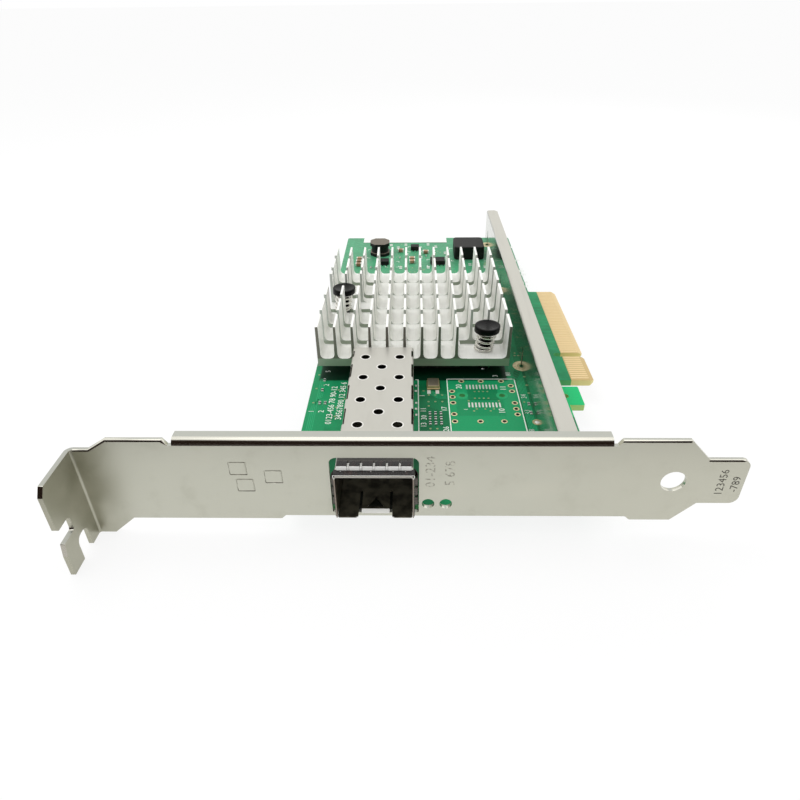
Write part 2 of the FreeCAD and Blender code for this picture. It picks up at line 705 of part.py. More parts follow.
def make_cage_shell():
    """Folded top, sides and rear of the cage, with vents, locking slots and board pins."""
    shell = body("cage_shell")
    section = sketch(shell, "shell_section", "XZ_Plane", -S.cage_front)
    corner = S.cage_corner
    draw_outline(section, [
        (cage_left, 0), (inner_left, 0), (inner_left, S.cage_height - S.cage_wall, corner - S.cage_wall),
        (inner_right, S.cage_height - S.cage_wall, corner - S.cage_wall), (inner_right, 0),
        (cage_right, 0), (cage_right, S.cage_height, corner), (cage_left, S.cage_height, corner)],
        chords=3)
    pad(shell, section, S.cage_length, backwards=True)
    rear = sketch(shell, "rear_wall", "XZ_Plane", -cage_rear)
    draw_outline(rear, rectangle(inner_left - 0.1, 0.4, S.cage_width - 2 * S.cage_wall + 0.2,
                                 S.cage_height - S.cage_wall - 0.35))
    pad(shell, rear, S.cage_wall)

    vents = sketch(shell, "vent_holes", "XY_Plane", S.cage_height)
    rows = S.whole("vent_row_count")
    spacing = (cage_rear - S.vent_rear_inset - S.vent_front_y) / (rows - 1)
    radius = S.vent_radius
    sides = S.whole("vent_sides")
    count = 0
    for index in range(rows):
        y = S.vent_front_y + spacing * index
        count = draw_polygon(vents, S.cage_x - S.vent_offset, y, radius, sides, count)
        count = draw_polygon(vents, S.cage_x + S.vent_offset, y, radius, sides, count)
        if index < rows - 1:
            count = draw_polygon(vents, S.cage_x, y + spacing / 2, radius, sides, count)
    pocket(shell, vents, S.cage_wall)

    locks = sketch(shell, "lock_slots", "XY_Plane", S.cage_height)
    count = 0
    for index in range(rows):
        y = S.lock_slot_front_y + spacing * index
        length = S.lock_slot_length if index < rows - 1 else S.lock_slot_length / 2
        for x in (cage_left - 0.1, cage_right - S.lock_slot_width):
            slot = rectangle(x, y, S.lock_slot_width + 0.1, length)
            count = draw_outline(locks, slot, count)
    pocket(shell, locks, S.lock_slot_drop)

    pins = sketch(shell, "board_pins", "XY_Plane")
    count = 0
    for x in cage_pin_x:
        for y in pin_rows:
            count = draw_outline(pins, rectangle(x, y, S.cage_wall, S.pin_width), count)
    pad(shell, pins, S.pin_drop, backwards=True)


def make_cage_floor():
    """Bottom sheet with two front legs, the latch tongue and its triangular catch."""
    floor = body("cage_floor")
    left = inner_left + S.floor_gap
    right = inner_right - S.floor_gap
    tongue_left = S.cage_x - S.latch_width / 2
    tongue_right = S.cage_x + S.latch_width / 2
    tongue_front = S.cage_front + S.latch_front
    slit_end = tongue_front + S.latch_slit_length
    floor_rear = cage_rear - S.socket_rear_gap - S.cage_wall - S.socket_depth - 0.3
    outline = sketch(floor, "floor_outline", "XY_Plane")
    draw_outline(outline, [
        (left, S.cage_front, 0.3), (tongue_left - S.latch_slit, S.cage_front, 0.4),
        (tongue_left - S.latch_slit, slit_end), (tongue_left, slit_end),
        (tongue_left, tongue_front), (tongue_right, tongue_front),
        (tongue_right, slit_end), (tongue_right + S.latch_slit, slit_end),
        (tongue_right + S.latch_slit, S.cage_front, 0.4), (right, S.cage_front, 0.3),
        (right, floor_rear), (left, floor_rear)])
    pad(floor, outline, S.cage_wall)
    lip = sketch(floor, "latch_lip", "YZ_Plane", tongue_left)
    slant = S.cage_wall * 0.7
    tip_y = tongue_front - S.latch_lip_run
    tip_z = S.cage_wall - S.latch_lip_drop
    draw_outline(lip, [
        (tongue_front + S.cage_wall, 0), (tongue_front + S.cage_wall, S.cage_wall),
        (tongue_front, S.cage_wall), (tip_y, tip_z), (tip_y + slant, tip_z - slant)])
    pad(floor, lip, S.latch_width)
    catch = sketch(floor, "latch_catch", "XY_Plane", S.cage_wall)
    half = S.latch_hole_width / 2
    start = tongue_front + S.latch_hole_inset
    draw_outline(catch, [
        (S.cage_x - half, start), (S.cage_x + half, start), (S.cage_x, start + S.latch_hole_length)])
    pocket(floor, catch, S.cage_wall)


def finger_strip(base, outward, side, along, rise):
    """One bowed contact finger: a strip that rises steeply, runs level and slopes back down.

    base is the strip's middle at its front end, outward the direction that it bows to, side the
    direction of its width and along the direction of its length.
    """
    length = float(S.spring_length)
    rise = float(rise)
    thick = float(S.spring_thick)
    half = float(S.spring_width) / 2
    start = base - side * half

    def at(distance, height):
        return start + along * distance + outward * height

    bow = ((0, 0), (0.05, 0.8), (0.16, 1), (0.52, 1), (1, 0))
    outer = [at(length * part, thick + (rise - thick) * height) for part, height in bow]
    inner = [at(length * part + thick / 2, (rise - thick) * height) for part, height in bow]
    inner[-1] = at(length, 0)
    corners = outer + inner[::-1]
    return Part.Face(Part.makePolygon(corners + corners[:1])).extrude(side * (2 * half))


def make_spring_collar():
    """Grounding spring fingers round the cage where it passes through the bracket."""
    gap = 0.01
    left = float(cage_left) - gap
    right = float(cage_right) + gap
    top = float(S.cage_height) + gap
    thick = float(S.spring_thick)
    front = float(S.cage_front) + 0.25
    band = float(S.spring_band)
    outer = block(left - thick, front, 0.1, right - left + 2 * thick, band, top + thick - 0.1)
    collar = outer.cut(block(left, front - 1, -1, right - left, band + 2, top + 1))
    along = Vector(0, 1, 0)
    up = Vector(0, 0, 1)
    across = Vector(1, 0, 0)
    fingers = []
    start_y = front + band - 0.2
    count = S.whole("spring_count")
    for index in range(count):
        x = float(S.cage_x) + float(S.spring_spacing) * (index - (count - 1) / 2)
        fingers.append(finger_strip(Vector(x, start_y, top), up, across, along, S.spring_rise))
    side_count = S.whole("spring_side_count")
    for index in range(side_count):
        z = float(S.cage_height) / 2 + float(S.spring_spacing) * (index - (side_count - 1) / 2)
        fingers.append(finger_strip(Vector(left, start_y, z), -across, up, along, S.spring_side_rise))
        fingers.append(finger_strip(Vector(right, start_y, z), across, up, along, S.spring_side_rise))
    shape_part("cage_spring_collar", collar.multiFuse(fingers).removeSplitter())


socket_left = S.cage_x - S.socket_width / 2
socket_front = cage_rear - S.cage_wall - S.socket_rear_gap - S.socket_depth
slot_left = S.cage_x - S.socket_slot_width / 2


def make_socket():
    """Twenty-way edge socket at the back of the cage."""
    socket = body("host_socket")
    outline = sketch(socket, "socket_outline", "XY_Plane")
    draw_outline(outline, rectangle(socket_left, socket_front, S.socket_width, S.socket_depth))
    pad(socket, outline, S.socket_height)
    mouth = sketch(socket, "socket_mouth", "XZ_Plane", -socket_front)
    draw_outline(mouth, rectangle(slot_left, S.socket_slot_z, S.socket_slot_width,
                                  S.socket_slot_height))
    pocket(socket, mouth, S.socket_slot_depth)


def make_socket_contacts():
    """Two rows of ten contacts, one above and one below the card slot."""
    count = S.whole("socket_contact_count")
    left = S.cage_x - S.socket_contact_spacing * (count - 1) / 2 - S.socket_contact_width / 2
    length = S.socket_slot_depth - S.socket_contact_inset
    high = S.socket_slot_z + S.socket_slot_height - S.socket_contact_thick
    strips = []
    for index in range(count):
        for z in (S.socket_slot_z, high):
            strips.append(block(left + S.socket_contact_spacing * index,
                                socket_front + S.socket_contact_inset, z,
                                S.socket_contact_width, length, S.socket_contact_thick))
    shape_part("host_contacts", Part.makeCompound(strips))


# ---------------------------------------------------------------- heat sink, chip and push pins

sink_floor = S.sink_base_z + S.sink_base
row_pitch = S.row_length + S.row_gap
sink_width = S.fin_spacing * (S.whole("fin_column_count") - 1) + S.fin_thick
sink_depth = row_pitch * (S.whole("fin_row_count") - 1) + S.row_length
sink_right = S.sink_left + sink_width
fin_height = S.sink_top - sink_floor


def make_heat_sink():
    """Extruded fins with rounded channels, sawn across into rows and milled round the pins."""
    sink = body("heat_sink")
    profile = sketch(sink, "fin_profile", "XZ_Plane", -sink_front)
    taper = (S.fin_thick - S.fin_tip) / 2
    corners = [(S.sink_left, S.sink_base_z), (sink_right, S.sink_base_z), (sink_right, S.sink_top)]
    for index in reversed(range(1, S.whole("fin_column_count"))):
        fin_left = S.sink_left + S.fin_spacing * index
        last_right = fin_left - S.fin_spacing + S.fin_thick
        corners += [(fin_left + taper, S.sink_top), (fin_left, sink_floor, S.foot_radius),
                    (last_right, sink_floor, S.foot_radius), (last_right - taper, S.sink_top)]
    corners.append((S.sink_left, S.sink_top))
    draw_outline(profile, corners, chords=3)
    pad(sink, profile, sink_depth, backwards=True)

    saw = sketch(sink, "cross_cuts", "YZ_Plane", S.sink_left - 1)
    count = 0
    for index in range(1, S.whole("fin_row_count")):
        gap_front = sink_front + row_pitch * index - S.row_gap
        cut_shape = rectangle(gap_front, sink_floor - S.mill_depth, S.row_gap, fin_height + 1)
        count = draw_outline(saw, cut_shape, count)
    pocket(sink, saw, sink_width + 2, backwards=True)

    grooves = sketch(sink, "side_grooves", "XY_Plane", sink_floor)
    count = 0
    for index in range(1, S.whole("fin_row_count")):
        gap_front = sink_front + row_pitch * index - S.row_gap
        for x in (S.sink_left - 1, sink_right - S.side_zone):
            groove = rectangle(x, gap_front, S.side_zone + 1, S.row_gap)
            count = draw_outline(grooves, groove, count)
    pocket(sink, grooves, S.side_cut)

    zones = sketch(sink, "pin_zones", "XY_Plane", S.sink_top + 1)
    last_fin = sink_right - S.fin_thick
    zone_left = last_fin - 2 * S.fin_spacing - S.foot_radius
    front_zone = rectangle(zone_left, sink_front - 1, 2 * S.fin_spacing + 0.2, S.pin_zone_depth + 1)
    count = draw_outline(zones, front_zone)
    rear_zone = rectangle(S.sink_left - 1, rear_pin[1] - 0.45 * S.rear_zone_depth,
                          S.rear_zone_width + 1, S.rear_zone_depth)
    draw_outline(zones, rear_zone, count)
    pocket(sink, zones, fin_height + 1 + S.mill_depth)

    holes = sketch(sink, "pin_holes", "XY_Plane", sink_floor)
    count = 0
    for x, y in (front_pin, rear_pin):
        count = draw_polygon(holes, x, y, S.pin_hole, S.whole("pin_sides"), count)
    pocket(sink, holes, S.sink_base)


chip_x = (S.front_pin_x + S.rear_pin_x) / 2
chip_y = (front_pin[1] + rear_pin[1]) / 2
chip_top = S.sink_base_z - S.pad_thick


def make_chip():
    """Controller: substrate and lid, with the thermal pad on top."""
    half = S.chip_side / 2
    lid_half = S.chip_lid_side / 2
    substrate = box("chip_substrate", (chip_x - half, chip_y - half, 0),
                    (S.chip_side, S.chip_side, S.chip_substrate))
    lid = box("chip_lid", (chip_x - lid_half, chip_y - lid_half, S.chip_substrate),
              (S.chip_lid_side, S.chip_lid_side, chip_top - S.chip_substrate))
    sub_part(fuse("chip_body", [substrate, lid]), "controller_chip")
    pad_half = S.pad_side / 2
    sub_part(box("pad_block", (chip_x - pad_half, chip_y - pad_half, chip_top),
                 (S.pad_side, S.pad_side, S.pad_thick)), "thermal_pad")


def make_push_pin(label, centre):
    """Plastic pin with a flat head above its spring and a split barb below the board."""
    head = S.pin_head_z
    top = head + S.pin_head_height
    bottom = -S.board_thick
    barb = bottom - 0.15
    tip = barb - S.pin_barb_length
    profile = [(0, top), (S.pin_head_radius - 0.35, top), (S.pin_head_radius, top - 0.35),
               (S.pin_head_radius, head), (S.pin_shank, head), (S.pin_shank, barb),
               (S.pin_barb_radius, barb), (S.pin_barb_radius, barb - 0.5),
               (S.pin_shank * 0.7, tip), (0, tip)]
    solid = turned(profile, centre, S.whole("pin_sides"))
    x, y = centre
    reach = S.pin_barb_radius + 1
    slit = block(x - S.pin_slit / 2, y - reach, tip - 1, S.pin_slit, 2 * reach,
                 S.pin_barb_length + S.board_thick)
    shape_part(label, solid.cut(slit))


def make_pin_spring(label, centre):
    """Compression spring between the heat sink and the pin's head, wound in short straight runs."""
    wire = float(S.coil_wire)
    radius = float(S.coil_radius)
    steps = S.whole("coil_steps")
    sides = S.whole("wire_sides")
    count = steps * S.whole("coil_turns")
    rise = float(S.pin_head_z - sink_floor) - 2 * (wire + float(S.coil_clear))
    up = Vector(0, 0, 1)
    rings = []
    for index in range(count + 1):
        turn = 2 * math.pi * index / steps
        outward = Vector(math.cos(turn), math.sin(turn), 0)
        middle = outward * radius + up * (rise * index / count)
        corners = []
        for side in range(sides):
            angle = 2 * math.pi * side / sides
            corners.append(middle + outward * (wire * math.cos(angle)) + up * (wire * math.sin(angle)))
        rings.append(Part.makePolygon(corners + corners[:1]))
    coil = Part.makeLoft(rings, True, True)
    shape_part(label, coil, (centre[0], centre[1], sink_floor + S.coil_wire + S.coil_clear))


# ---------------------------------------------------------------- stiffener rail

def make_rail():
    """Angle section along the contact edge, soldered into the board by three lugs."""
    rail = body("stiffener_rail")
    section = sketch(rail, "rail_section", "XZ_Plane", -S.rail_front)
    right = S.rail_x + S.rail_width
    inner = S.rail_height - S.rail_sheet
    draw_outline(section, [
        (S.rail_x, S.pad_lift), (S.rail_x + S.rail_sheet, S.pad_lift),
        (S.rail_x + S.rail_sheet, inner, S.rail_bend),
        (right, inner), (right, S.rail_height), (S.rail_x, S.rail_height, S.rail_bend + 0.2)])
    pad(rail, section, S.rail_rear - S.rail_front, backwards=True)

    corner = sketch(rail, "rail_corner", "XY_Plane", S.rail_height)
    draw_outline(corner, [
        (right - S.rail_chamfer, S.rail_rear), (right, S.rail_rear - S.rail_chamfer),
        (right + 1, S.rail_rear + 1)])
    pocket(rail, corner, S.rail_height)

    slots = sketch(rail, "rail_slots", "YZ_Plane", S.rail_x - 1)
    count = 0
    for row in rail_hole_rows:
        slot = rectangle(row, -1, S.rail_slot_width, S.rail_slot_height + 1)
        count = draw_outline(slots, slot, count)
    pocket(rail, slots, S.rail_sheet + 1.5, backwards=True)

    lugs = sketch(rail, "rail_lugs", "YZ_Plane", S.rail_x)
    count = 0
    for row in rail_hole_rows:
        lug = rectangle(row - S.rail_lug_width, -S.rail_lug_drop, S.rail_lug_width,
                        S.rail_lug_drop + 0.5)
        count = draw_outline(lugs, lug, count)
    pad(rail, lugs, S.rail_sheet)


# ---------------------------------------------------------------- components on the board

inductor_y = board_rear - S.inductor_inset
choke_y = board_rear - S.choke_inset


def make_crystal():
    base = box("crystal_base", (S.crystal_x, S.crystal_y, 0),
               (S.crystal_width, S.crystal_length, S.crystal_height - S.crystal_lid))
    lid = box("crystal_lid", (S.crystal_x + S.crystal_lip, S.crystal_y + S.crystal_lip,
                              S.crystal_height - S.crystal_lid),
              (S.crystal_width - 2 * S.crystal_lip, S.crystal_length - 2 * S.crystal_lip,
               S.crystal_lid))
    sub_part(fuse("crystal_body", [base, lid]), "crystal_can")


def make_inductor():
    inductor = body("power_inductor")
    outline = sketch(inductor, "inductor_outline", "XY_Plane")
    side = S.inductor_side
    draw_outline(outline, [corner + (S.inductor_corner,)
                           for corner in rectangle(S.inductor_x, inductor_y, side, side)])
    pad(inductor, outline, S.inductor_height)


def octagon(x, y, width):
    """Corners of a square with its corners cut off."""
    half = float(width) / 2
    short = half * 0.5
    x, y = float(x), float(y)
    return [(x - short, y - half), (x + short, y - half), (x + half, y - short), (x + half, y + short),
            (x + short, y + half), (x - short, y + half), (x - half, y + short), (x - half, y - short)]


def make_choke():
    """Drum choke: two octagonal flanges on a round wound core."""
    choke = body("output_choke")
    foot = sketch(choke, "choke_foot", "XY_Plane")
    draw_outline(foot, octagon(S.choke_x, choke_y, S.choke_side))
    pad(choke, foot, S.choke_flange)
    core = sketch(choke, "choke_core", "XY_Plane", S.choke_flange)
    draw_circle(core, S.choke_x, choke_y, S.choke_core)
    pad(choke, core, S.choke_height - 2 * S.choke_flange)
    head = sketch(choke, "choke_head", "XY_Plane", S.choke_height - S.choke_flange)
    draw_outline(head, octagon(S.choke_x, choke_y, S.choke_side))
    pad(choke, head, S.choke_flange)


def make_package(label, x, y, width, length, leads):
    """A moulded package with a row of flat leads along its front and rear."""
    lift = S.package_lift
    solids = [block(x - width / 2, y - length / 2, lift, width, length, S.package_height)]
    span = S.lead_spacing * (leads - 1)
    for index in range(leads):
        left = x - span / 2 + S.lead_spacing * index - S.lead_width / 2
        for near in (y - length / 2 - S.lead_reach, y + length / 2):
            solids.append(block(left, near, 0, S.lead_width, S.lead_reach, S.lead_thick))
    body_block = solids[0].multiFuse([
        block(x - span / 2 - S.lead_width / 2, y - length / 2, 0, span + S.lead_width, length, lift)])
    shape_part(label, body_block.multiFuse(solids[1:]).removeSplitter())


def make_chip_parts(label, places, spans, below=False):
    """Small rectangular parts of one kind, each standing on the board."""
    width, length, height = spans
    level = -S.board_thick - height if below else 0
    blocks = [block(x - width / 2, y - length / 2, level, width, length, height) for x, y in places]
    shape_part(label, Part.makeCompound(blocks))


def make_small_parts():
    """Ceramic capacitors, resistors and indicator lights."""
    left_bank = board_rear - S.left_bank_inset
    middle_bank = board_rear - S.middle_bank_inset
    bulk = [(S.left_bank_x, left_bank + S.left_bank_spacing * index) for index in range(3)]
    bulk += [(S.middle_bank_x, middle_bank + S.middle_bank_spacing * index) for index in range(2)]
    bulk += [(S.single_x, board_rear - S.single_inset), (S.pair_x, board_rear - S.pair_inset)]
    make_chip_parts("bulk_capacitors", bulk,
                    (S.capacitor_width, S.capacitor_length, S.capacitor_height))

    corner = [(S.corner_x, S.corner_middle_y), (S.corner_x, S.corner_front_y),
              (S.corner_x + S.corner_spacing, S.corner_front_y), (S.corner_x, S.corner_rear_y)]
    across = range(S.whole("grid_count"))
    grid = [(S.grid_x + S.grid_column_spacing * column, S.grid_y + S.grid_row_spacing * row)
            for column in across for row in across]
    edge = [(S.rail_x - S.edge_gap, S.test_hole_y + S.edge_first + S.edge_spacing * row)
            for row in range(2)]
    rear = [(S.rear_first_x + S.rear_first_spacing * index,
             board_rear - S.rear_first_inset + S.rear_first_spacing * index) for index in range(2)]
    rear += [(S.rear_second_x + S.rear_second_spacing * index, board_rear - S.rear_second_inset)
             for index in range(3)]
    rear += [(S.rear_third_x + S.rear_third_spacing * index, board_rear - S.rear_third_inset)
             for index in range(2)]
    make_chip_parts("chip_resistors", corner + grid + edge + rear,
                    (S.resistor_width, S.resistor_length, S.resistor_height))

    count = 6
    spacing = S.chip_side / count
    first = chip_x - S.chip_side / 2 + spacing / 2
    under = [(first + spacing * index, chip_y - S.under_row_gap * (0.5 - row))
             for index in range(count) for row in range(2)]
    make_chip_parts("underside_capacitors", under,
                    (S.under_width, S.under_length, S.under_height), below=True)

    lights = [(S.light_hole_x + S.light_hole_pitch * index, S.light_y) for index in range(2)]
    make_chip_parts("indicator_lights", lights, (S.light_width, S.light_depth, S.light_height))


def make_label():
    sub_part(box("label_block", (S.label_x, board_rear - S.label_rear_gap - S.label_depth, 0),
                 (S.label_width, S.label_depth, S.label_thick)), "label_strip")


# ---------------------------------------------------------------- build, check and write

make_board()
make_contacts("edge_contacts_front", size(0))
make_contacts("edge_contacts_back", -S.board_thick - S.copper_thick)
make_rings()
make_footprint()
make_bracket()
make_bracket_screws()
make_cage_shell()
make_cage_floor()
make_spring_collar()
make_socket()
make_socket_contacts()
make_heat_sink()
make_chip()
make_push_pin("push_pin_front", front_pin)
make_push_pin("push_pin_rear", rear_pin)
make_pin_spring("pin_spring_front", front_pin)
make_pin_spring("pin_spring_rear", rear_pin)
make_rail()
make_crystal()
make_inductor()
make_choke()
make_package("memory_chip", S.memory_x, board_rear - S.memory_inset, S.memory_width,
             S.memory_length, 4)
make_package("regulator_chip", S.regulator_x, board_rear - S.regulator_inset, S.regulator_width,
             S.regulator_length, 2)
make_package("driver_chip", S.driver_x, board_rear - S.driver_inset, S.driver_width,
             S.driver_length, 2)
make_small_parts()
make_label()

doc.recompute()
for item in doc.Objects:
    if "Invalid" in item.State or "Error" in item.State:
        raise RuntimeError(f"{item.Label} did not recompute: {item.State}")
for item in SUB_PARTS:
    if item.Shape.isNull() or not item.Shape.isValid():
        raise RuntimeError(f"{item.Label} has no valid shape")
for item in SUB_PARTS:
    item.Shape.exportStep(f"parts/{item.Label}.step")
    bounds = item.Shape.BoundBox
    print(f"{item.Label:22s} {len(item.Shape.Solids):3d} solids  {item.Shape.Volume:10.2f} mm3  "
          f"x {bounds.XMin:.2f}..{bounds.XMax:.2f}  y {bounds.YMin:.2f}..{bounds.YMax:.2f}  "
          f"z {bounds.ZMin:.2f}..{bounds.ZMax:.2f}")
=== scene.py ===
"""Dressed model of a single-port network interface card, built round its packed solids."""
import math
import random

import bmesh
import bpy
from mathutils import Matrix, Vector


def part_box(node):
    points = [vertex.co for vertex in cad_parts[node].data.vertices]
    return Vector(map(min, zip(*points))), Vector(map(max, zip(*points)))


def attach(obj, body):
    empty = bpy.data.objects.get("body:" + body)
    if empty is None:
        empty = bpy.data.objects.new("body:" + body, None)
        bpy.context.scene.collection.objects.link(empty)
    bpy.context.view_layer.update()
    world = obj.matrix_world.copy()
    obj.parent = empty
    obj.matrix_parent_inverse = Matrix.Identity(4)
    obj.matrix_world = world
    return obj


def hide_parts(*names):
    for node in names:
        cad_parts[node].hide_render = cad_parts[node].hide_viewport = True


bl_info = {
    "name": "Network card dresser",
    "version": (1, 0, 0),
    "blender": (4, 5, 0),
    "location": "View3D > Sidebar > Card",
    "description": "Finishes, printing and small parts for a single-port network interface card",
    "category": "Object",
}

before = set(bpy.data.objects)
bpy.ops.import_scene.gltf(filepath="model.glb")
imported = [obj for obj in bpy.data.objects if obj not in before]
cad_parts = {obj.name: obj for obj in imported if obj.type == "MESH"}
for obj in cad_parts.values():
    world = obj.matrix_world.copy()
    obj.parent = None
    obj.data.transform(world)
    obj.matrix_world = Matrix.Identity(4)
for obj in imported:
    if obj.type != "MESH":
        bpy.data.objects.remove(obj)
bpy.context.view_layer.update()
MM = 0.001
BODY = "root"


def mm_box(node):
    """Lowest and highest corner of a node, in millimetres."""
    low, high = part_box(node)
    return low / MM, high / MM


BOARD_LOW, BOARD_HIGH = mm_box("circuit_board")
CAGE_LOW, CAGE_HIGH = mm_box("cage_shell")
SINK_LOW, SINK_HIGH = mm_box("heat_sink")
CONTACT_LOW, CONTACT_HIGH = mm_box("edge_contacts_front")
BRACKET_LOW = mm_box("bracket")[0]
LABEL_LOW = mm_box("label_strip")[0]

BOARD_TOP = 0.0
BOARD_BOTTOM = BOARD_LOW.z
CAGE_MIDDLE = (CAGE_LOW.x + CAGE_HIGH.x) / 2
RAIL_X = mm_box("stiffener_rail")[0].x
FINGER_PITCH = 2.3
# Two corners of the printed outline of a package that isn't fitted
FOOTPRINT = (32.8, 19.6), (49.3, 45.9)


def srgb(text):
    """Linear colour from a six-digit hexadecimal one."""
    channels = []
    for index in (0, 2, 4):
        value = int(text[index:index + 2], 16) / 255
        channels.append(value / 12.92 if value <= 0.04045 else ((value + 0.055) / 1.055) ** 2.4)
    return tuple(channels)


# ---------------------------------------------------------------- settings

def tint(name, description, default):
    return bpy.props.FloatVectorProperty(
        name=name, description=description, default=srgb(default), min=0, max=1, subtype="COLOR")


def measure(name, description, default):
    return bpy.props.FloatProperty(
        name=name, description=description, default=default * MM, min=0, unit="LENGTH")


def amount(name, description, default, least=0, subtype="NONE"):
    return bpy.props.FloatProperty(
        name=name, description=description, default=default, min=least, subtype=subtype)


class BoardSettings(bpy.types.PropertyGroup):
    """Colours and printing of the circuit board."""
    mask: tint("Mask", "Solder mask over copper", "1E9A63")
    mask_dark: tint("Bare mask", "Solder mask over bare laminate", "0C6A40")
    edge: tint("Cut edge", "Laminate where the board is cut", "7CC98A")
    laminate: tint("Laminate", "Bare laminate between the contacts", "C9AE76")
    print: tint("Printing", "White legend on the board", "F1F5EE")
    gold: tint("Gold", "Plated contacts", "EBD2A0")
    copper: tint("Copper", "Small plated holes", "A9A279")
    line_width: measure("Line width", "Width of the printed lines", 0.22)
    via_radius: measure("Via radius", "Outer radius of a via", 0.24)


class SteelSettings(bpy.types.PropertyGroup):
    """Finish of the bracket, the cage and the rail."""
    bracket: tint("Bracket", "Plated steel of the bracket", "C8C8BA")
    tarnish: tint("Tarnish", "Duller steel near the bracket's tab", "A09E8B")
    cage: tint("Cage", "Tinned sheet of the cage", "CDCBC3")
    rail: tint("Rail", "Pale top of the stiffening rail", "C8C6BD")
    bright: tint("Bright", "Polished spring steel", "E8E6E0")
    edge: measure("Edge", "Width of the worn sheet edges", 0.07)
    bracket_edge: measure("Bracket edge", "Rolled-over edge of the bracket's sheet", 0.26)
    corner: measure("Corner", "Rounding of the bracket's corners in outline", 0.55)
    roll: measure("Roll", "Radius of the plate's upper front edges beside the flange", 0.45)
    stamp_depth: measure("Stamp depth", "Depth of the marks stamped in the bracket", 0.12)


class SinkSettings(bpy.types.PropertyGroup):
    """Finish of the heat sink and of its push pins."""
    aluminium: tint("Aluminium", "Sawn and extruded aluminium", "FAFAF6")
    plastic: tint("Pins", "Black plastic of the push pins", "0A0A0A")
    edge: measure("Edge", "Width of the broken fin edges", 0.08)
    wire: measure("Wire", "Radius of the spring wire", 0.33)
    lean: amount("Lean", "Sideways lean of the push pins", math.radians(5.5), subtype="ANGLE")
    pivot: measure("Pivot", "Height at which a leaning pin stays in place", 8.0)
    slack: measure("Slack", "Furthest that a pin moves in its hole", 0.24)
    turns: amount("Turns", "Turns of each pin spring", 4.5, least=1)


class PartSettings(bpy.types.PropertyGroup):
    """Colours of the parts that stand on the board."""
    epoxy: tint("Epoxy", "Moulded packages", "171717")
    ferrite: tint("Ferrite", "Cores of the coils", "1E1E1D")
    tan: tint("Tan", "Ceramic capacitors", "B08E70")
    resistor: tint("Resistor", "Resistor glaze", "1F2224")
    tin: tint("Tin", "Solder and tinned ends", "E9E9E4")
    lid: tint("Lid", "Lid of the crystal", "8D8576")
    rim: tint("Rim", "Rim of the crystal", "CDB78C")


class StageSettings(bpy.types.PropertyGroup):
    """Floor, light and backdrop."""
    floor: tint("Floor", "Floor and backdrop", "FFFFFF")
    fill: amount("Fill", "Even light from all round", 0.8)
    key: amount("Key", "Power of the large overhead lamp", 0.55, subtype="POWER")


SETTINGS = {"board": BoardSettings, "steel": SteelSettings, "sink": SinkSettings,
            "parts": PartSettings, "stage": StageSettings}


def setting(name):
    """The value of a setting, given as group.entry."""
    group, entry = name.split(".")
    return getattr(getattr(bpy.context.scene, "card_" + group), entry)


# ---------------------------------------------------------------- node trees

def operation(kind, swapped=False):
    """A method that joins a signal and another value in a math node."""
    def method(self, other=0.0):
        first, second = (other, self) if swapped else (self, other)
        return self.tree.add("ShaderNodeMath", {"operation": kind}, {0: first, 1: second})
    return method


class Signal:
    """A node's output that takes part in plain arithmetic."""
    __add__, __radd__ = operation("ADD"), operation("ADD", True)
    __sub__, __rsub__ = operation("SUBTRACT"), operation("SUBTRACT", True)
    __mul__, __rmul__ = operation("MULTIPLY"), operation("MULTIPLY", True)
    __truediv__, __mod__ = operation("DIVIDE"), operation("FLOORED_MODULO")
    __abs__ = operation("ABSOLUTE")
    most, least = operation("MAXIMUM"), operation("MINIMUM")

    def __init__(self, tree, socket):
        self.tree = tree
        self.socket = socket


class Nodes:
    """A node tree with one method that adds any node."""

    def __init__(self, tree):
        self.tree = tree
        self.tree.nodes.clear()

    def add(self, kind, settings=None, sockets=None, output=0):
        node = self.tree.nodes.new(kind)
        for name, value in (settings or {}).items():
            setattr(node, name, value)
        for name, value in (sockets or {}).items():
            self._feed(node.inputs[name], value)
        return Signal(self, node.outputs[output]) if node.outputs else None

    def _feed(self, socket, value):
        """Set a socket; a colour is a tuple, six hexadecimal digits or a setting's name."""
        if isinstance(value, Signal):
            self.tree.links.new(value.socket, socket)
        elif socket.type == "RGBA":
            if isinstance(value, str):
                value = setting(value) if "." in value else srgb(value)
            socket.default_value = (*value[:3], 1.0)
        else:
            socket.default_value = value

    def smooth(self, signal, low, high):
        """0 below low, 1 above high, with a soft step between; low may be the larger."""
        return self.add("ShaderNodeMapRange", {"interpolation_type": "SMOOTHSTEP"},
                        {"Value": signal, "From Min": low, "From Max": high})

    def mix(self, first, second, factor):
        return self.add("ShaderNodeMix", {"data_type": "RGBA"}, {0: factor, 6: first, 7: second}, 2)


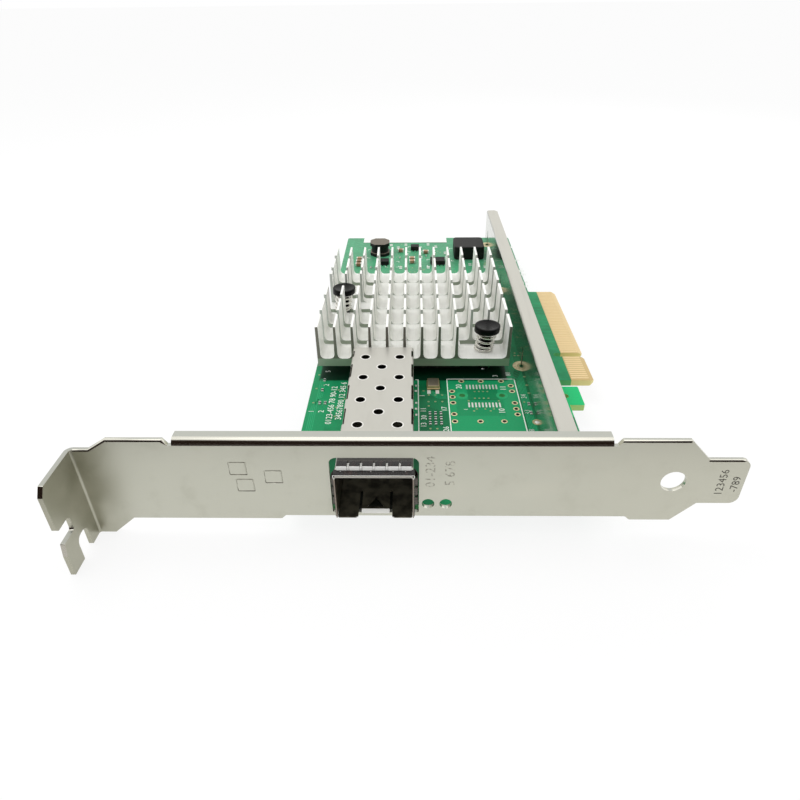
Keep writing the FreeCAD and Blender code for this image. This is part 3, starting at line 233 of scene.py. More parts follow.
class Finish(Nodes):
    """A procedural material that reads Object coordinates, in millimetres."""

    def __init__(self, name, base):
        self.material = bpy.data.materials.new(name)
        self.material.use_nodes = True
        super().__init__(self.material.node_tree)
        self.colour = base
        place = self.add("ShaderNodeTexCoord", output=3)
        self.place = self.add("ShaderNodeVectorMath", {"operation": "SCALE"},
                              {0: place, "Scale": 1 / MM})
        self.x, self.y, self.z = (self.part(self.place, index) for index in range(3))
        normal = self.add("ShaderNodeNewGeometry", output=1)
        self.nx, self.ny, self.nz = (self.part(normal, index) for index in range(3))

    def part(self, vector, index):
        return self.add("ShaderNodeSeparateXYZ", sockets={0: vector}, output=index)

    def noise(self, scale, detail=2.0, stretch=(1, 1, 1), rough=0.5):
        """Cloudy noise from 0 to 1; scale is in features per millimetre."""
        vector = self.add("ShaderNodeVectorMath", {"operation": "MULTIPLY"},
                          {0: self.place, 1: stretch})
        return self.add("ShaderNodeTexNoise", sockets={
            "Vector": vector, "Scale": scale, "Detail": detail, "Roughness": rough})

    def between(self, signal, low, high, soft):
        return self.smooth(signal, low - soft, low) * self.smooth(signal, high + soft, high)

    def inside(self, low, high, soft=0.15):
        """1 inside a rectangle in plan, given by two (x, y) corners, and 0 outside it."""
        return (self.between(self.x, low[0], high[0], soft)
                * self.between(self.y, low[1], high[1], soft))

    def coat(self, colour, share):
        """Lay a colour over those laid before."""
        self.colour = self.mix(self.colour, colour, share)

    def bump(self, height, distance, strength=1.0):
        """height is in the noise's own units; distance is the relief in millimetres."""
        return self.add("ShaderNodeBump", sockets={
            "Height": height, "Distance": distance * MM, "Strength": strength})

    def done(self, roughness, metallic=0.0, normal=None, specular=None, clear=None):
        """The finished material; what is left out keeps the surface's usual value."""
        values = {"Normal": normal, "Specular IOR Level": specular, "Coat Weight": clear}
        sockets = {name: value for name, value in values.items() if value is not None}
        surface = self.add("ShaderNodeBsdfPrincipled", sockets={
            "Base Color": self.colour, "Roughness": roughness, "Metallic": metallic, **sockets})
        self.add("ShaderNodeOutputMaterial", sockets={"Surface": surface})
        return self.material


# ---------------------------------------------------------------- finishes

MATERIALS = {}
FAINT_GLOSS = 0.12


def finish(name):
    """The material of that name, made when it is first asked for."""
    if name not in MATERIALS:
        MATERIALS[name] = plain(*PLAIN[name]) if name in PLAIN else MAKERS[name]()
    return MATERIALS[name]


def plain(name, base, over, noise, cloud, rough, metallic=0.0, relief=None, specular=None,
          clear=None):
    """A finish of one colour with clouds of another, all from one noise."""
    skin = Finish(name, base)
    tone = skin.noise(*noise)
    share = skin.smooth(tone, *cloud[:2]) if cloud else tone
    skin.coat(over, share * cloud[2] if len(cloud) > 2 else share)
    roughness = rough[0] + rough[1] * tone if len(rough) > 1 else rough[0]
    normal = skin.bump(tone, *relief) if relief else None
    return skin.done(roughness, metallic, normal, specular, clear)


# Each row: material, colour, cloud colour, noise (scale, detail, stretch), cloud (low, high,
# share), roughness (least, added by the noise), metallic, relief (millimetres, strength),
# mirror strength and clear coat; what a row leaves out is none
PLAIN = {
    "gold": ("plated_gold", "board.gold", "E4CA94", (1.2, 4.0, (0.35, 2.5, 1)),
             (0.4, 0.8, 0.6), (0.3, 0.15), 0.65, (0.004, 0.4)),
    "flash": ("gold_flash", "EADFB4", "C9AE7E", (1.6, 3.0), (0.42, 0.7), (0.34, 0.15), 0.25),
    "copper": ("ringed_copper", "board.copper", "E3D0A4", (2.5, 3.0), (0.35, 0.75, 0.7),
               (0.32, 0.2), 0.55),
    "printing": ("white_printing", "board.print", "BFD8C8", (3.0, 3.0), (0.5, 0.85, 0.6),
                 (0.55, 0.15)),
    "bright": ("bright_steel", "steel.bright", "B8B4AA", (4.0, 3.0), (0.5, 0.8, 0.4),
               (0.12, 0.14), 1.0, (0.006, 0.3)),
    "tin": ("tinned_metal", "parts.tin", "BDBDB6", (3.0, 2.0), (0.45, 0.8, 0.6),
            (0.25, 0.25), 0.45, (0.03, 0.4)),
    "glaze": ("resistor_glaze", "parts.resistor", "3A3F42", (6.0, 2.0), (0.5, 0.8), (0.3, 0.2)),
    "pad": ("thermal_pad", "8B8E92", "A5A8AB", (3.0, 2.0), (), (0.7, 0.1), 0.0, (0.02, 0.3)),
    # Near-black, painted as the shade inside holes, recesses and slots
    "hole": ("open_hole", "060806", "1A1510", (2.0, 1.0), (), (0.8, 0.1)),
    "hole_green": ("tented_hole", "0E5A1C", "17702A", (2.0, 1.0), (), (0.3, 0.1)),
    "stamp": ("struck_numerals", "3C3A31", "6B685A", (3.0, 3.0), (0.4, 0.75), (0.6,)),
    "faint_stamp": ("faint_numerals", "8F8D80", "C9C7B8", (1.6, 3.0), (0.4, 0.65), (0.5,), 0.2),
    # Near-white, painted as the highlight on the punched rims of the vents
    "burnish": ("burnished_rim", "F7F6F1", "E3E1DA", (3.0, 2.0), (), (0.3,), 0.15),
    "track": ("masked_track", "board.mask", "36B57E", (0.5, 2.0), (), (0.28,), 0.0, None,
              FAINT_GLOSS),
    "halo": ("mask_halo", "249A62", "34AC74", (2.0, 1.0), (), (0.3,), 0.0, None, FAINT_GLOSS),
    "lens": ("light_lens", "DDE6C8", "B7CF9C", (2.0, 1.0), (), (0.15, 0.1), 0.0, None, None, 0.4),
}


def make_solder_mask():
    """Green mask, lighter over copper, with bare laminate at the contacts and at cut edges, and
    painted shade under the heat sink, inside the cage, beside the cage near the bracket and on the
    cut edge under the cage.
    """
    mask = Finish("solder_mask", "board.mask_dark")
    cloud = mask.noise(0.16, 2.0)
    weave = mask.noise(2.4, 2.0)
    component_side = mask.smooth(mask.nz, 0.2, 0.6)

    copper = 0.45 + 0.35 * mask.smooth(cloud, 0.4, 0.62)
    left_pour = mask.inside((0, 2), (4.6, 46), 1.2)
    copper = copper.most(left_pour * 0.75).most(mask.inside(*FOOTPRINT) * 0.95)
    well = mask.inside((37.6, 36.8), (44.4, 41.6), 0.4) * component_side
    inner = mask.inside((34.6, 30.4), (45.4, 36.8), 0.2) * component_side
    lane = mask.inside((26.2, 6), (32.4, 46), 0.2) * component_side
    margin = mask.inside((49.6, 6), (RAIL_X, 50), 0.2) * component_side
    copper = copper - 0.6 * well - 0.28 * inner - 0.55 * lane - 0.5 * margin
    hook = mask.inside((BOARD_HIGH.x - 8.8, 30), (BOARD_HIGH.x, 43), 0.2)
    mask.coat("board.mask", (copper + 0.35 * hook).least(1.0).most(0.05))

    mask.coat("12C877", hook * 0.9)
    rear = mask.smooth(mask.y, 100.0, 108.0) * component_side
    blot = mask.smooth(mask.noise(1.1, 3.0), 0.48, 0.62)
    mask.coat("7DB596", rear * (0.3 + 0.16 * blot))
    mask.coat("0A4A2C", mask.smooth(weave, 0.35, 0.75) * 0.1)
    # Painted shadow on the board under the heat sink
    shadow_under_sink = mask.inside((SINK_LOW.x + 0.6, SINK_LOW.y - 1.6),
                             (SINK_HIGH.x - 0.6, SINK_HIGH.y - 0.5), 0.7) * component_side
    mask.coat("04120B", shadow_under_sink * 0.92)
    # Painted shade on the board inside the cage
    shade_in_cage = mask.inside((CAGE_LOW.x + 0.3, CAGE_LOW.y), (CAGE_HIGH.x - 0.3, CAGE_HIGH.y - 0.5))
    mask.coat("10130E", shade_in_cage * component_side)
    contact_zone = mask.inside((CONTACT_LOW.x - 0.2, CONTACT_LOW.y - 1.4),
                               (BOARD_HIGH.x + 1, CONTACT_HIGH.y + 1.4), 0.03)
    long_row = mask.smooth(mask.y, CONTACT_LOW.y + 12.4, CONTACT_LOW.y + 13.0)
    mask.coat(mask.mix("board.laminate", "DCC28E", long_row), contact_zone)
    # Painted shade on the board beside the cage, darkest right behind the bracket and further back
    # where it is seen past the cage
    shade_beside_cage = mask.inside((CAGE_LOW.x - 4.0, 0), (CAGE_LOW.x, 23), 0.8)
    shade_beside_cage = shade_beside_cage.most(mask.inside((CAGE_HIGH.x, 0), (CAGE_HIGH.x + 1.2, 23), 0.5))
    shade_near_mouth = mask.smooth(mask.y, 3.4, 1.6).most(mask.smooth(mask.y, 12.0, 17.0))
    mask.coat(mask.mix("0A5A36", "0A2A1C", shade_near_mouth), shade_beside_cage * 0.8)

    side = 1 - mask.smooth(abs(mask.nz), 0.3, 0.6)
    layers = mask.smooth(abs(mask.z % 0.36 - 0.18), 0.02, 0.08)
    # Painted shade on the board's cut edge under the cage's mouth
    shaded_edge_under_cage = mask.inside((CAGE_LOW.x - 0.2, 0), (CAGE_HIGH.x + 0.2, 2.5))
    cut = mask.mix("board.edge", "3F9E5E", 0.35 + 0.3 * layers)
    for shade, share in (("B6D98A", hook), ("E8DB98", contact_zone), ("14170F", shaded_edge_under_cage)):
        cut = mask.mix(cut, shade, share)
    mask.coat(cut, side)

    relief = mask.bump(weave * 0.4 + cloud * 0.6, 0.03, 0.35)
    return mask.done(0.26 + 0.1 * weave + 0.35 * side, 0.0, relief, specular=FAINT_GLOSS)


def make_bracket_steel():
    """Dull plated steel: fine grain, faint stains, polished bends with a painted highlight and a
    painted dark reflection below it, a painted cooler tone on faces that point straight up, darker
    towards the bent tab.
    """
    steel = Finish("bracket_steel", "steel.bracket")
    grain = steel.noise(5.5, 3.0, rough=0.7)
    stain = steel.noise(0.16, 4.0, rough=0.6)
    pale = steel.noise(0.07, 2.0, (1, 1, 1.6))
    near_tab = steel.smooth(steel.x, BRACKET_LOW.x + 11.0, BRACKET_LOW.x + 0.5)
    dull = near_tab * 0.7 + 0.25 * steel.smooth(stain, 0.5, 0.8)
    bend_polish_and_highlight = steel.smooth(steel.nz, 0.12, 0.25) * steel.smooth(steel.nz, 0.995, 0.97)
    bend_polish_and_highlight = bend_polish_and_highlight * steel.smooth(steel.ny, 0.1, -0.05)
    roll_dark_reflection = steel.smooth(steel.nz, 0.1, 0.3) * steel.smooth(steel.nz, 0.85, 0.6)
    roll_dark_reflection = roll_dark_reflection * steel.smooth(steel.ny, -0.3, -0.5)
    for shade, share in (
            ("steel.tarnish", dull.least(1.0)),
            ("D0CEBF", steel.smooth(pale, 0.5, 0.75) * 0.35),
            ("C6C4B4", steel.smooth(steel.x, 20.0, 80.0) * 0.5),
            ("84826F", steel.smooth(grain, 0.62, 0.85) * 0.3),
            # Painted cooler reflection tone on faces that point straight up
            ("BBBDB8", steel.smooth(steel.nz, 0.975, 0.995) * 0.7),
            # Painted highlight along the bends
            ("E9E7DC", bend_polish_and_highlight),
            # Painted dark reflection on the lower part of the bends and on the rolled front edges
            ("54423A", roll_dark_reflection * 0.8)):
        steel.coat(shade, share)
    relief = steel.bump(grain * 0.7 + stain * 0.3, 0.014, 0.4)
    roughness = (0.29 + 0.12 * grain + 0.05 * stain) * (1 - 0.6 * bend_polish_and_highlight)
    return steel.done(roughness, 0.8 + 0.18 * bend_polish_and_highlight, relief)


def make_cage_steel():
    """Tinned sheet: smooth and pale outside, with painted shade inside the cage, under the flange
    and below the top sheet.
    """
    sheet = Finish("cage_sheet", "steel.cage")
    smear = sheet.noise(0.35, 4.0, (1.5, 0.5, 1))
    fine = sheet.noise(9.0, 2.0)
    wall, top = 0.14, CAGE_HIGH.z
    # Painted shade on the sheet's inner faces
    inner = sheet.inside((CAGE_LOW.x + wall, CAGE_LOW.y + 0.05),
                         (CAGE_HIGH.x - wall, CAGE_HIGH.y - 0.1), 0.04)
    inner = inner * sheet.smooth(sheet.z, top - wall, top - wall - 0.04)
    # Painted shade on the top just behind the bracket, where the flange shades it
    shade_behind_bracket = sheet.smooth(sheet.y, 6.0, 4.6) * sheet.smooth(sheet.y, 0.4, 0.9)
    shade_behind_bracket = shade_behind_bracket * sheet.smooth(sheet.nz, 0.5, 0.9)
    # Painted shade on up-facing cuts and floors below the top sheet
    shade_below_top = sheet.smooth(sheet.z, top - 0.3, top - 0.4) * sheet.smooth(sheet.nz, 0.4, 0.7)
    dark = inner.most(shade_behind_bracket * 0.93).most(shade_below_top)
    cloud = sheet.smooth(sheet.noise(0.5, 3.0), 0.35, 0.65)
    lips = sheet.smooth(sheet.y, CAGE_LOW.y + 0.12, CAGE_LOW.y + 0.04)
    lips = lips * sheet.smooth(sheet.z, 9.3, 9.1) * sheet.smooth(abs(sheet.nx), 0.9, 0.7)
    sheet.coat("BFBCB3", sheet.smooth(smear, 0.45, 0.8) * 0.3)
    # Lay the painted shade, darkest behind the bracket
    sheet.coat(sheet.mix("5E5A4A", "2B281F", cloud), dark)
    sheet.coat("201C1C", shade_behind_bracket * 0.8)
    sheet.coat("8A7F74", lips)
    relief = sheet.bump(smear * 0.8 + fine * 0.2, 0.01, 0.3)
    return sheet.done(0.27 + 0.1 * smear, 0.85 - 0.35 * dark - 0.35 * shade_behind_bracket, relief)


def make_cage_inside():
    """Tinned floor of the cage: painted dark as the cage's shade, with a painted highlight on the
    lip of the latch.
    """
    sheet = Finish("cage_floor_sheet", "6A6656")
    smear = sheet.noise(0.5, 4.0)
    latch = sheet.inside((CAGE_LOW.x + 3.6, -2), (CAGE_HIGH.x - 3.6, 2))
    below = sheet.smooth(sheet.nz, -0.4, -0.8)
    # Painted highlight on the latch's lip and on its front faces
    lip = sheet.smooth(sheet.z, 0.12, -0.02) * sheet.smooth(sheet.y, 0.5, 0.2) * latch
    front = sheet.smooth(sheet.ny, -0.4, -0.8) * sheet.smooth(sheet.y, 0.6, 0.4)
    lip = lip.most(front * latch)
    sheet.coat("3A372D", sheet.smooth(smear, 0.35, 0.7))
    sheet.coat("steel.cage", below)
    sheet.coat("FFFFFA", lip)
    return sheet.done(0.3 + 0.15 * smear, 0.75 - 0.7 * lip, sheet.bump(smear, 0.01, 0.4))


def make_collar_steel():
    """Grounding fingers: painted highlight where they stand up to the front and on the bars between
    them, painted shade along their level tops and below them.
    """
    collar = Finish("collar_steel", "A5A297")
    top = CAGE_HIGH.z
    scuff = collar.noise(4.0, 3.0)
    streak = collar.noise(1.2, 3.0, (1, 0.3, 3))
    # Painted highlight on faces that stand up to the front
    finger_highlight = collar.smooth(collar.ny, -0.35, -0.7)
    # Painted shade on the level tops
    level = collar.smooth(collar.nz, 0.6, 0.9)
    # Painted shade just under the tops of the fingers
    under = collar.smooth(collar.z, top + 0.12, top + 0.02)
    # Painted highlight on the bars in the slots between the fingers, where light comes through
    slot_highlight = abs((collar.x - CAGE_MIDDLE + FINGER_PITCH / 2) % FINGER_PITCH - FINGER_PITCH / 2)
    slot_highlight = collar.smooth(slot_highlight, 0.24, 0.2) * collar.smooth(collar.z, top + 0.3, top + 0.5)
    slot_highlight = slot_highlight * collar.smooth(abs(collar.nx), 0.7, 0.5)
    finger_highlight = finger_highlight.most(slot_highlight) * collar.smooth(collar.z, 9.0, 9.5)
    for shade, share in (
            ("6D685F", collar.smooth(streak, 0.45, 0.7)),
            ("1C1A1C", level),
            ("4A2E26", level * collar.smooth(streak, 0.5, 0.75) * 0.6),
            ("2C2423", under.most(level * 0.3) * 0.75),
            ("FFFFFB", finger_highlight)):
        collar.coat(shade, share)
    metallic = (0.85 - 0.8 * finger_highlight - 0.75 * level).most(0.05)
    roughness = 0.2 + 0.15 * scuff + 0.2 * finger_highlight
    return collar.done(roughness, metallic, collar.bump(scuff, 0.006, 0.3))


def make_rail_steel():
    """Rail: polished upright wall, pale satin top."""
    rail = Finish("rail_sheet", "C4C7BF")
    top = rail.smooth(rail.nz, 0.3, 0.9)
    fine = rail.noise(6.0, 3.0)
    streak = rail.noise(0.6, 3.0, (1, 0.08, 1))
    rail.coat("steel.rail", top)
    rail.coat("A9A79C", rail.smooth(streak, 0.5, 0.8) * 0.2)
    roughness = 0.12 + 0.4 * top + 0.06 * fine
    return rail.done(roughness, 0.95 - 0.55 * top, rail.bump(fine, 0.008, 0.25))


def make_aluminium():
    """Extruded aluminium: satin, with drawn lines along the fins; greyer where it was sawn, with
    painted shade on the front ends and a painted green reflection of the board low on the sawn
    faces.
    """
    metal = Finish("sink_aluminium", "sink.aluminium")
    drawn = metal.noise(3.5, 4.0, (1, 0.05, 1), 0.65)
    cloud = metal.noise(0.25, 3.0)
    sawn = metal.smooth(abs(metal.ny), 0.6, 0.9)
    for shade, share in (
            ("D4D5D1", metal.smooth(drawn, 0.5, 0.85) * 0.4),
            ("DADBD6", metal.smooth(cloud, 0.45, 0.75) * 0.3),
            ("C9CEC7", sawn),
            # Painted shade on the sawn front ends
            ("86827A", metal.smooth(metal.y, SINK_LOW.y + 0.3, SINK_LOW.y + 0.1) * sawn),
            # Painted green reflection of the board on the sawn faces of the base
            ("A9B3A3", metal.smooth(metal.z, SINK_LOW.z + 2.3, SINK_LOW.z + 1.9) * sawn)):
        metal.coat(shade, share)
    return metal.done(0.4 + 0.12 * drawn, 0.3 + 0.35 * sawn, metal.bump(drawn, 0.02, 0.25))


def make_black_plastic():
    plastic = Finish("pin_plastic", "sink.plastic")
    grain = plastic.noise(3.0, 3.0)
    scratch = plastic.noise(1.0, 4.0, (6, 0.6, 1))
    plastic.coat("242424", plastic.smooth(scratch, 0.6, 0.85) * 0.5)
    return plastic.done(0.22 + 0.15 * grain, 0.0, plastic.bump(grain, 0.015, 0.3),
                        specular=FAINT_GLOSS)


def make_epoxy():
    epoxy = Finish("moulded_epoxy", "parts.epoxy")
    pits = epoxy.noise(9.0, 3.0, rough=0.7)
    epoxy.coat("34332F", epoxy.smooth(epoxy.noise(0.8, 2.0), 0.4, 0.8))
    return epoxy.done(0.5 + 0.2 * pits, 0.0, epoxy.bump(pits, 0.03, 0.5), specular=0.25)


def make_ferrite():
    ferrite = Finish("coil_ferrite", "121212")
    pits = ferrite.noise(4.0, 4.0, rough=0.7)
    ferrite.coat("parts.ferrite", ferrite.smooth(ferrite.nz, 0.5, 0.9))
    ferrite.coat("4A4844", ferrite.smooth(pits, 0.58, 0.85) * 0.5)
    return ferrite.done(0.45 + 0.25 * pits, 0.0, ferrite.bump(pits, 0.05, 0.5), specular=0.3)


def make_choke():
    """Grey-brown end plates on a dark winding."""
    choke = Finish("choke_core", "0E0D0C")
    pits = choke.noise(4.0, 4.0, rough=0.7)
    plate = choke.smooth(choke.nz, 0.5, 0.9)
    choke.coat("6A6357", plate)
    choke.coat("8B8474", plate * choke.smooth(pits, 0.5, 0.8) * 0.6)
    turns = abs(choke.z % 0.45 - 0.225)
    relief = choke.bump(pits * 0.2 + turns * 2, 0.06, 0.5)
    return choke.done(0.4 + 0.25 * pits, 0.0, relief, specular=0.3)


def make_ceramic():
    ceramic = Finish("tan_ceramic", "parts.tan")
    speck = ceramic.noise(5.0, 3.0)
    ceramic.coat("8E6A50", ceramic.smooth(ceramic.noise(0.35, 0.0), 0.4, 0.6))
    ceramic.coat("D3BFA6", ceramic.smooth(speck, 0.6, 0.8) * 0.4)
    return ceramic.done(0.45 + 0.2 * speck, 0.0, ceramic.bump(speck, 0.01, 0.3))


def make_crystal():
    """Crystal can: warm rim and greyer lid."""
    can = Finish("crystal_metal", "parts.rim")
    low, high = mm_box("crystal_can")
    lid = can.inside((low.x + 0.4, low.y + 0.4), (high.x - 0.4, high.y - 0.4), 0.12)
    brushed = can.noise(4.0, 3.0, (4, 0.3, 1))
    can.coat("parts.lid", lid * can.smooth(can.nz, 0.4, 0.8))
    can.coat("D9C8A8", can.smooth(brushed, 0.55, 0.8) * 0.35)
    return can.done(0.24 + 0.2 * brushed, 0.85, can.bump(brushed, 0.006, 0.3))


def make_label_paper():
    paper = Finish("label_film", "EDEEEB")
    fibre = paper.noise(4.0, 3.0)
    paper.coat("DCDDD9", paper.smooth(fibre, 0.45, 0.8) * 0.6)
    paper.coat("A9B3A8", paper.smooth(paper.y, LABEL_LOW.y + 0.5, LABEL_LOW.y + 0.1) * 0.8)
    return paper.done(0.35 + 0.1 * fibre, 0.0, paper.bump(fibre, 0.006, 0.3))


MAKERS = {
    "mask": make_solder_mask, "bracket": make_bracket_steel, "cage": make_cage_steel,
    "cage_inside": make_cage_inside, "collar": make_collar_steel, "rail": make_rail_steel,
    "aluminium": make_aluminium, "plastic": make_black_plastic, "epoxy": make_epoxy,
    "ferrite": make_ferrite, "choke": make_choke, "ceramic": make_ceramic,
    "crystal": make_crystal, "paper": make_label_paper,
}


# ---------------------------------------------------------------- pieces


def link(name, data):
    """A new object in the scene."""
    made = bpy.data.objects.new(name, data)
    bpy.context.scene.collection.objects.link(made)
    return made


def paint(mesh, material):
    mesh.materials.clear()
    mesh.materials.append(finish(material))


def paint_node(node, material):
    paint(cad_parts[node].data, material)


def declare(name, mesh, replaces=()):
    """A finished piece that rides on the card and may stand for CAD nodes."""
    piece = link(name, mesh)
    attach(piece, BODY)
    if replaces:
        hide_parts(*replaces)
    return piece


def add_piece(name, shape, material, replaces=()):
    """A finished piece of one material; it takes the shape over."""
    mesh = mesh_of(name, shape)
    paint(mesh, material)
    return declare(name, mesh, replaces)


def mesh_of(name, shape):
    mesh = bpy.data.meshes.new(name)
    shape.to_mesh(mesh)
    shape.free()
    return mesh


def evaluated(thing):
    """Plain mesh of an object with its modifiers."""
    depsgraph = bpy.context.evaluated_depsgraph_get()
    return bpy.data.meshes.new_from_object(thing.evaluated_get(depsgraph))


def bake(piece):
    """Turn a piece's modifiers into plain mesh."""
    mesh = evaluated(piece)
    piece.modifiers.clear()
    piece.data = mesh


def soften(piece, width, segments=2, angle=30):
    """Round a piece's sharp edges; width is in millimetres."""
    bevel = piece.modifiers.new("edges", "BEVEL")
    bevel.width = width * MM
    bevel.segments = segments
    bevel.limit_method = "ANGLE"
    bevel.angle_limit = math.radians(angle)
    bake(piece)
    level_faces(piece)


def level_faces(piece, narrow=0.6, alike=0.999, near=0.75):
    """Keep faces wider than a width in millimetres flat between their rounded edges."""
    mesh = piece.data
    shade(mesh)
    flat = {}
    wide = []
    for face in mesh.polygons:
        points = [mesh.vertices[index].co for index in face.vertices]
        longest = max((a - b).length for a, b in zip(points, points[1:] + points[:1]))
        wide.append(face.area > narrow * MM * longest)
        if wide[-1]:
            for vert in face.vertices:
                flat.setdefault(vert, []).append(face.normal.copy())
    corners = [corner.vector.copy() for corner in mesh.corner_normals]
    for face in mesh.polygons:
        beside = [normal for vert in face.vertices for normal in flat.get(vert, ())]
        level = wide[face.index] or any(face.normal.dot(normal) > alike for normal in beside)
        for corner, vert in zip(face.loop_indices, face.vertices):
            if level:
                corners[corner] = face.normal.copy()
                continue
            nearest = max(flat.get(vert, ()), key=face.normal.dot, default=None)
            if nearest is not None and face.normal.dot(nearest) > near:
                corners[corner] = nearest
    mesh.normals_split_custom_set(corners)


def shade(mesh, angle=38):
    mesh.shade_smooth()
    mesh.set_sharp_from_angle(angle=math.radians(angle))


def carve(piece, shape):
    """Cut a shape out of a piece."""
    cutter = link("cutter", mesh_of("cutter", shape))
    boolean = piece.modifiers.new("carve", "BOOLEAN")
    boolean.operation = "DIFFERENCE"
    boolean.solver = "EXACT"
    boolean.object = cutter
    boolean.use_self = True
    bake(piece)
    bpy.data.objects.remove(cutter)


def joined(node):
    """Copy of a node's mesh with its loose triangles merged into whole faces."""
    shape = bmesh.new()
    shape.from_mesh(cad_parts[node].data)
    bmesh.ops.remove_doubles(shape, verts=shape.verts, dist=0.0002 * MM)
    bmesh.ops.dissolve_limit(shape, angle_limit=math.radians(0.5), verts=shape.verts,
                             edges=shape.edges, delimit={"NORMAL"})
    return shape


def dressed(name, node, material, width=0.07, segments=2, angle=30):
    """A piece with the shape of a CAD node and softened edges, which stands for it."""
    piece = add_piece(name, joined(node), material, [node])
    soften(piece, width, segments, angle)


def islands(node):
    """Middle and size of each separate solid of a node, in millimetres."""
    shape = joined(node)
    left = set(shape.verts)
    found = []
    while left:
        stack = [left.pop()]
        group = list(stack)
        while stack:
            for edge in stack.pop().link_edges:
                for vert in edge.verts:
                    if vert in left:
                        left.discard(vert)
                        stack.append(vert)
                        group.append(vert)
        low, high = (Vector([pick(vert.co[axis] for vert in group) for axis in range(3)]) / MM
                     for pick in (min, max))
        found.append(((low + high) / 2, high - low))
    shape.free()
    return sorted(found, key=lambda entry: tuple(round(value, 3) for value in entry[0]))


def brick(shape, low, high):
    """A block between two corners in millimetres."""
    centre = [(a + b) / 2 * MM for a, b in zip(low, high)]
    spans = [(b - a) * MM for a, b in zip(low, high)]
    made = bmesh.ops.create_cube(shape, size=1.0)["verts"]
    bmesh.ops.scale(shape, vec=spans, verts=made)
    bmesh.ops.translate(shape, vec=centre, verts=made)
    return made


def lathe(shape, profile, centre, sides=32):
    """Close a solid of revolution about a vertical axis from (radius, height) pairs."""
    rings = []
    for radius, height in profile:
        turns = [2 * math.pi * index / sides for index in range(sides if radius else 1)]
        points = [(centre[0] + radius * math.cos(turn), centre[1] + radius * math.sin(turn), height)
                  for turn in turns]
        rings.append([shape.verts.new([value * MM for value in point]) for point in points])
    for low, high in zip(rings, rings[1:]):
        for index in range(sides):
            after = (index + 1) % sides
            corners = [low[index % len(low)], low[after % len(low)],
                       high[after % len(high)], high[index % len(high)]]
            unique = list(dict.fromkeys(corners))
            if len(unique) > 2:
                shape.faces.new(unique)
    bmesh.ops.recalc_face_normals(shape, faces=shape.faces)


def ribbon(shape, points, width, level=BOARD_TOP, height=0.02):
    """A flat strip of constant width along a path in plan."""
    half = width / 2
    lap = half * 0.99
    for (x0, y0), (x1, y1) in zip(points, points[1:]):
        run = math.hypot(x1 - x0, y1 - y0)
        ux, uy = (x1 - x0) / run, (y1 - y0) / run
        made = brick(shape, (-lap, -half, level), (run + lap, half, level + height))
        turn = Matrix(((ux, -uy, 0, x0 * MM), (uy, ux, 0, y0 * MM), (0, 0, 1, 0), (0, 0, 0, 1)))
        bmesh.ops.transform(shape, matrix=turn, verts=made)


def numerals(shape, text, x, y, height, upright=False, body=1.35):
    """Plain numerals that lie on the board, or stand on the bracket's face."""
    lift = 0.01 if upright else 0.02
    curve = bpy.data.curves.new("numerals", "FONT")
    curve.body = text
    curve.size = height * MM * body
    curve.extrude = lift * MM / 2
    curve.resolution_u = 2
    curve.align_x = curve.align_y = "CENTER"
    holder = link("numerals", curve)
    mesh = evaluated(holder)
    bpy.data.objects.remove(holder)
    along, raised = (Matrix.Rotation(math.pi / 2, 4, axis) for axis in "ZX")
    if upright:
        mesh.transform(Matrix.Translation((x * MM, 0, y * MM)) @ raised @ along)
    else:
        mesh.transform(Matrix.Translation((x * MM, y * MM, lift / 2 * MM)) @ along)
    shape.from_mesh(mesh)
    bpy.data.meshes.remove(mesh)


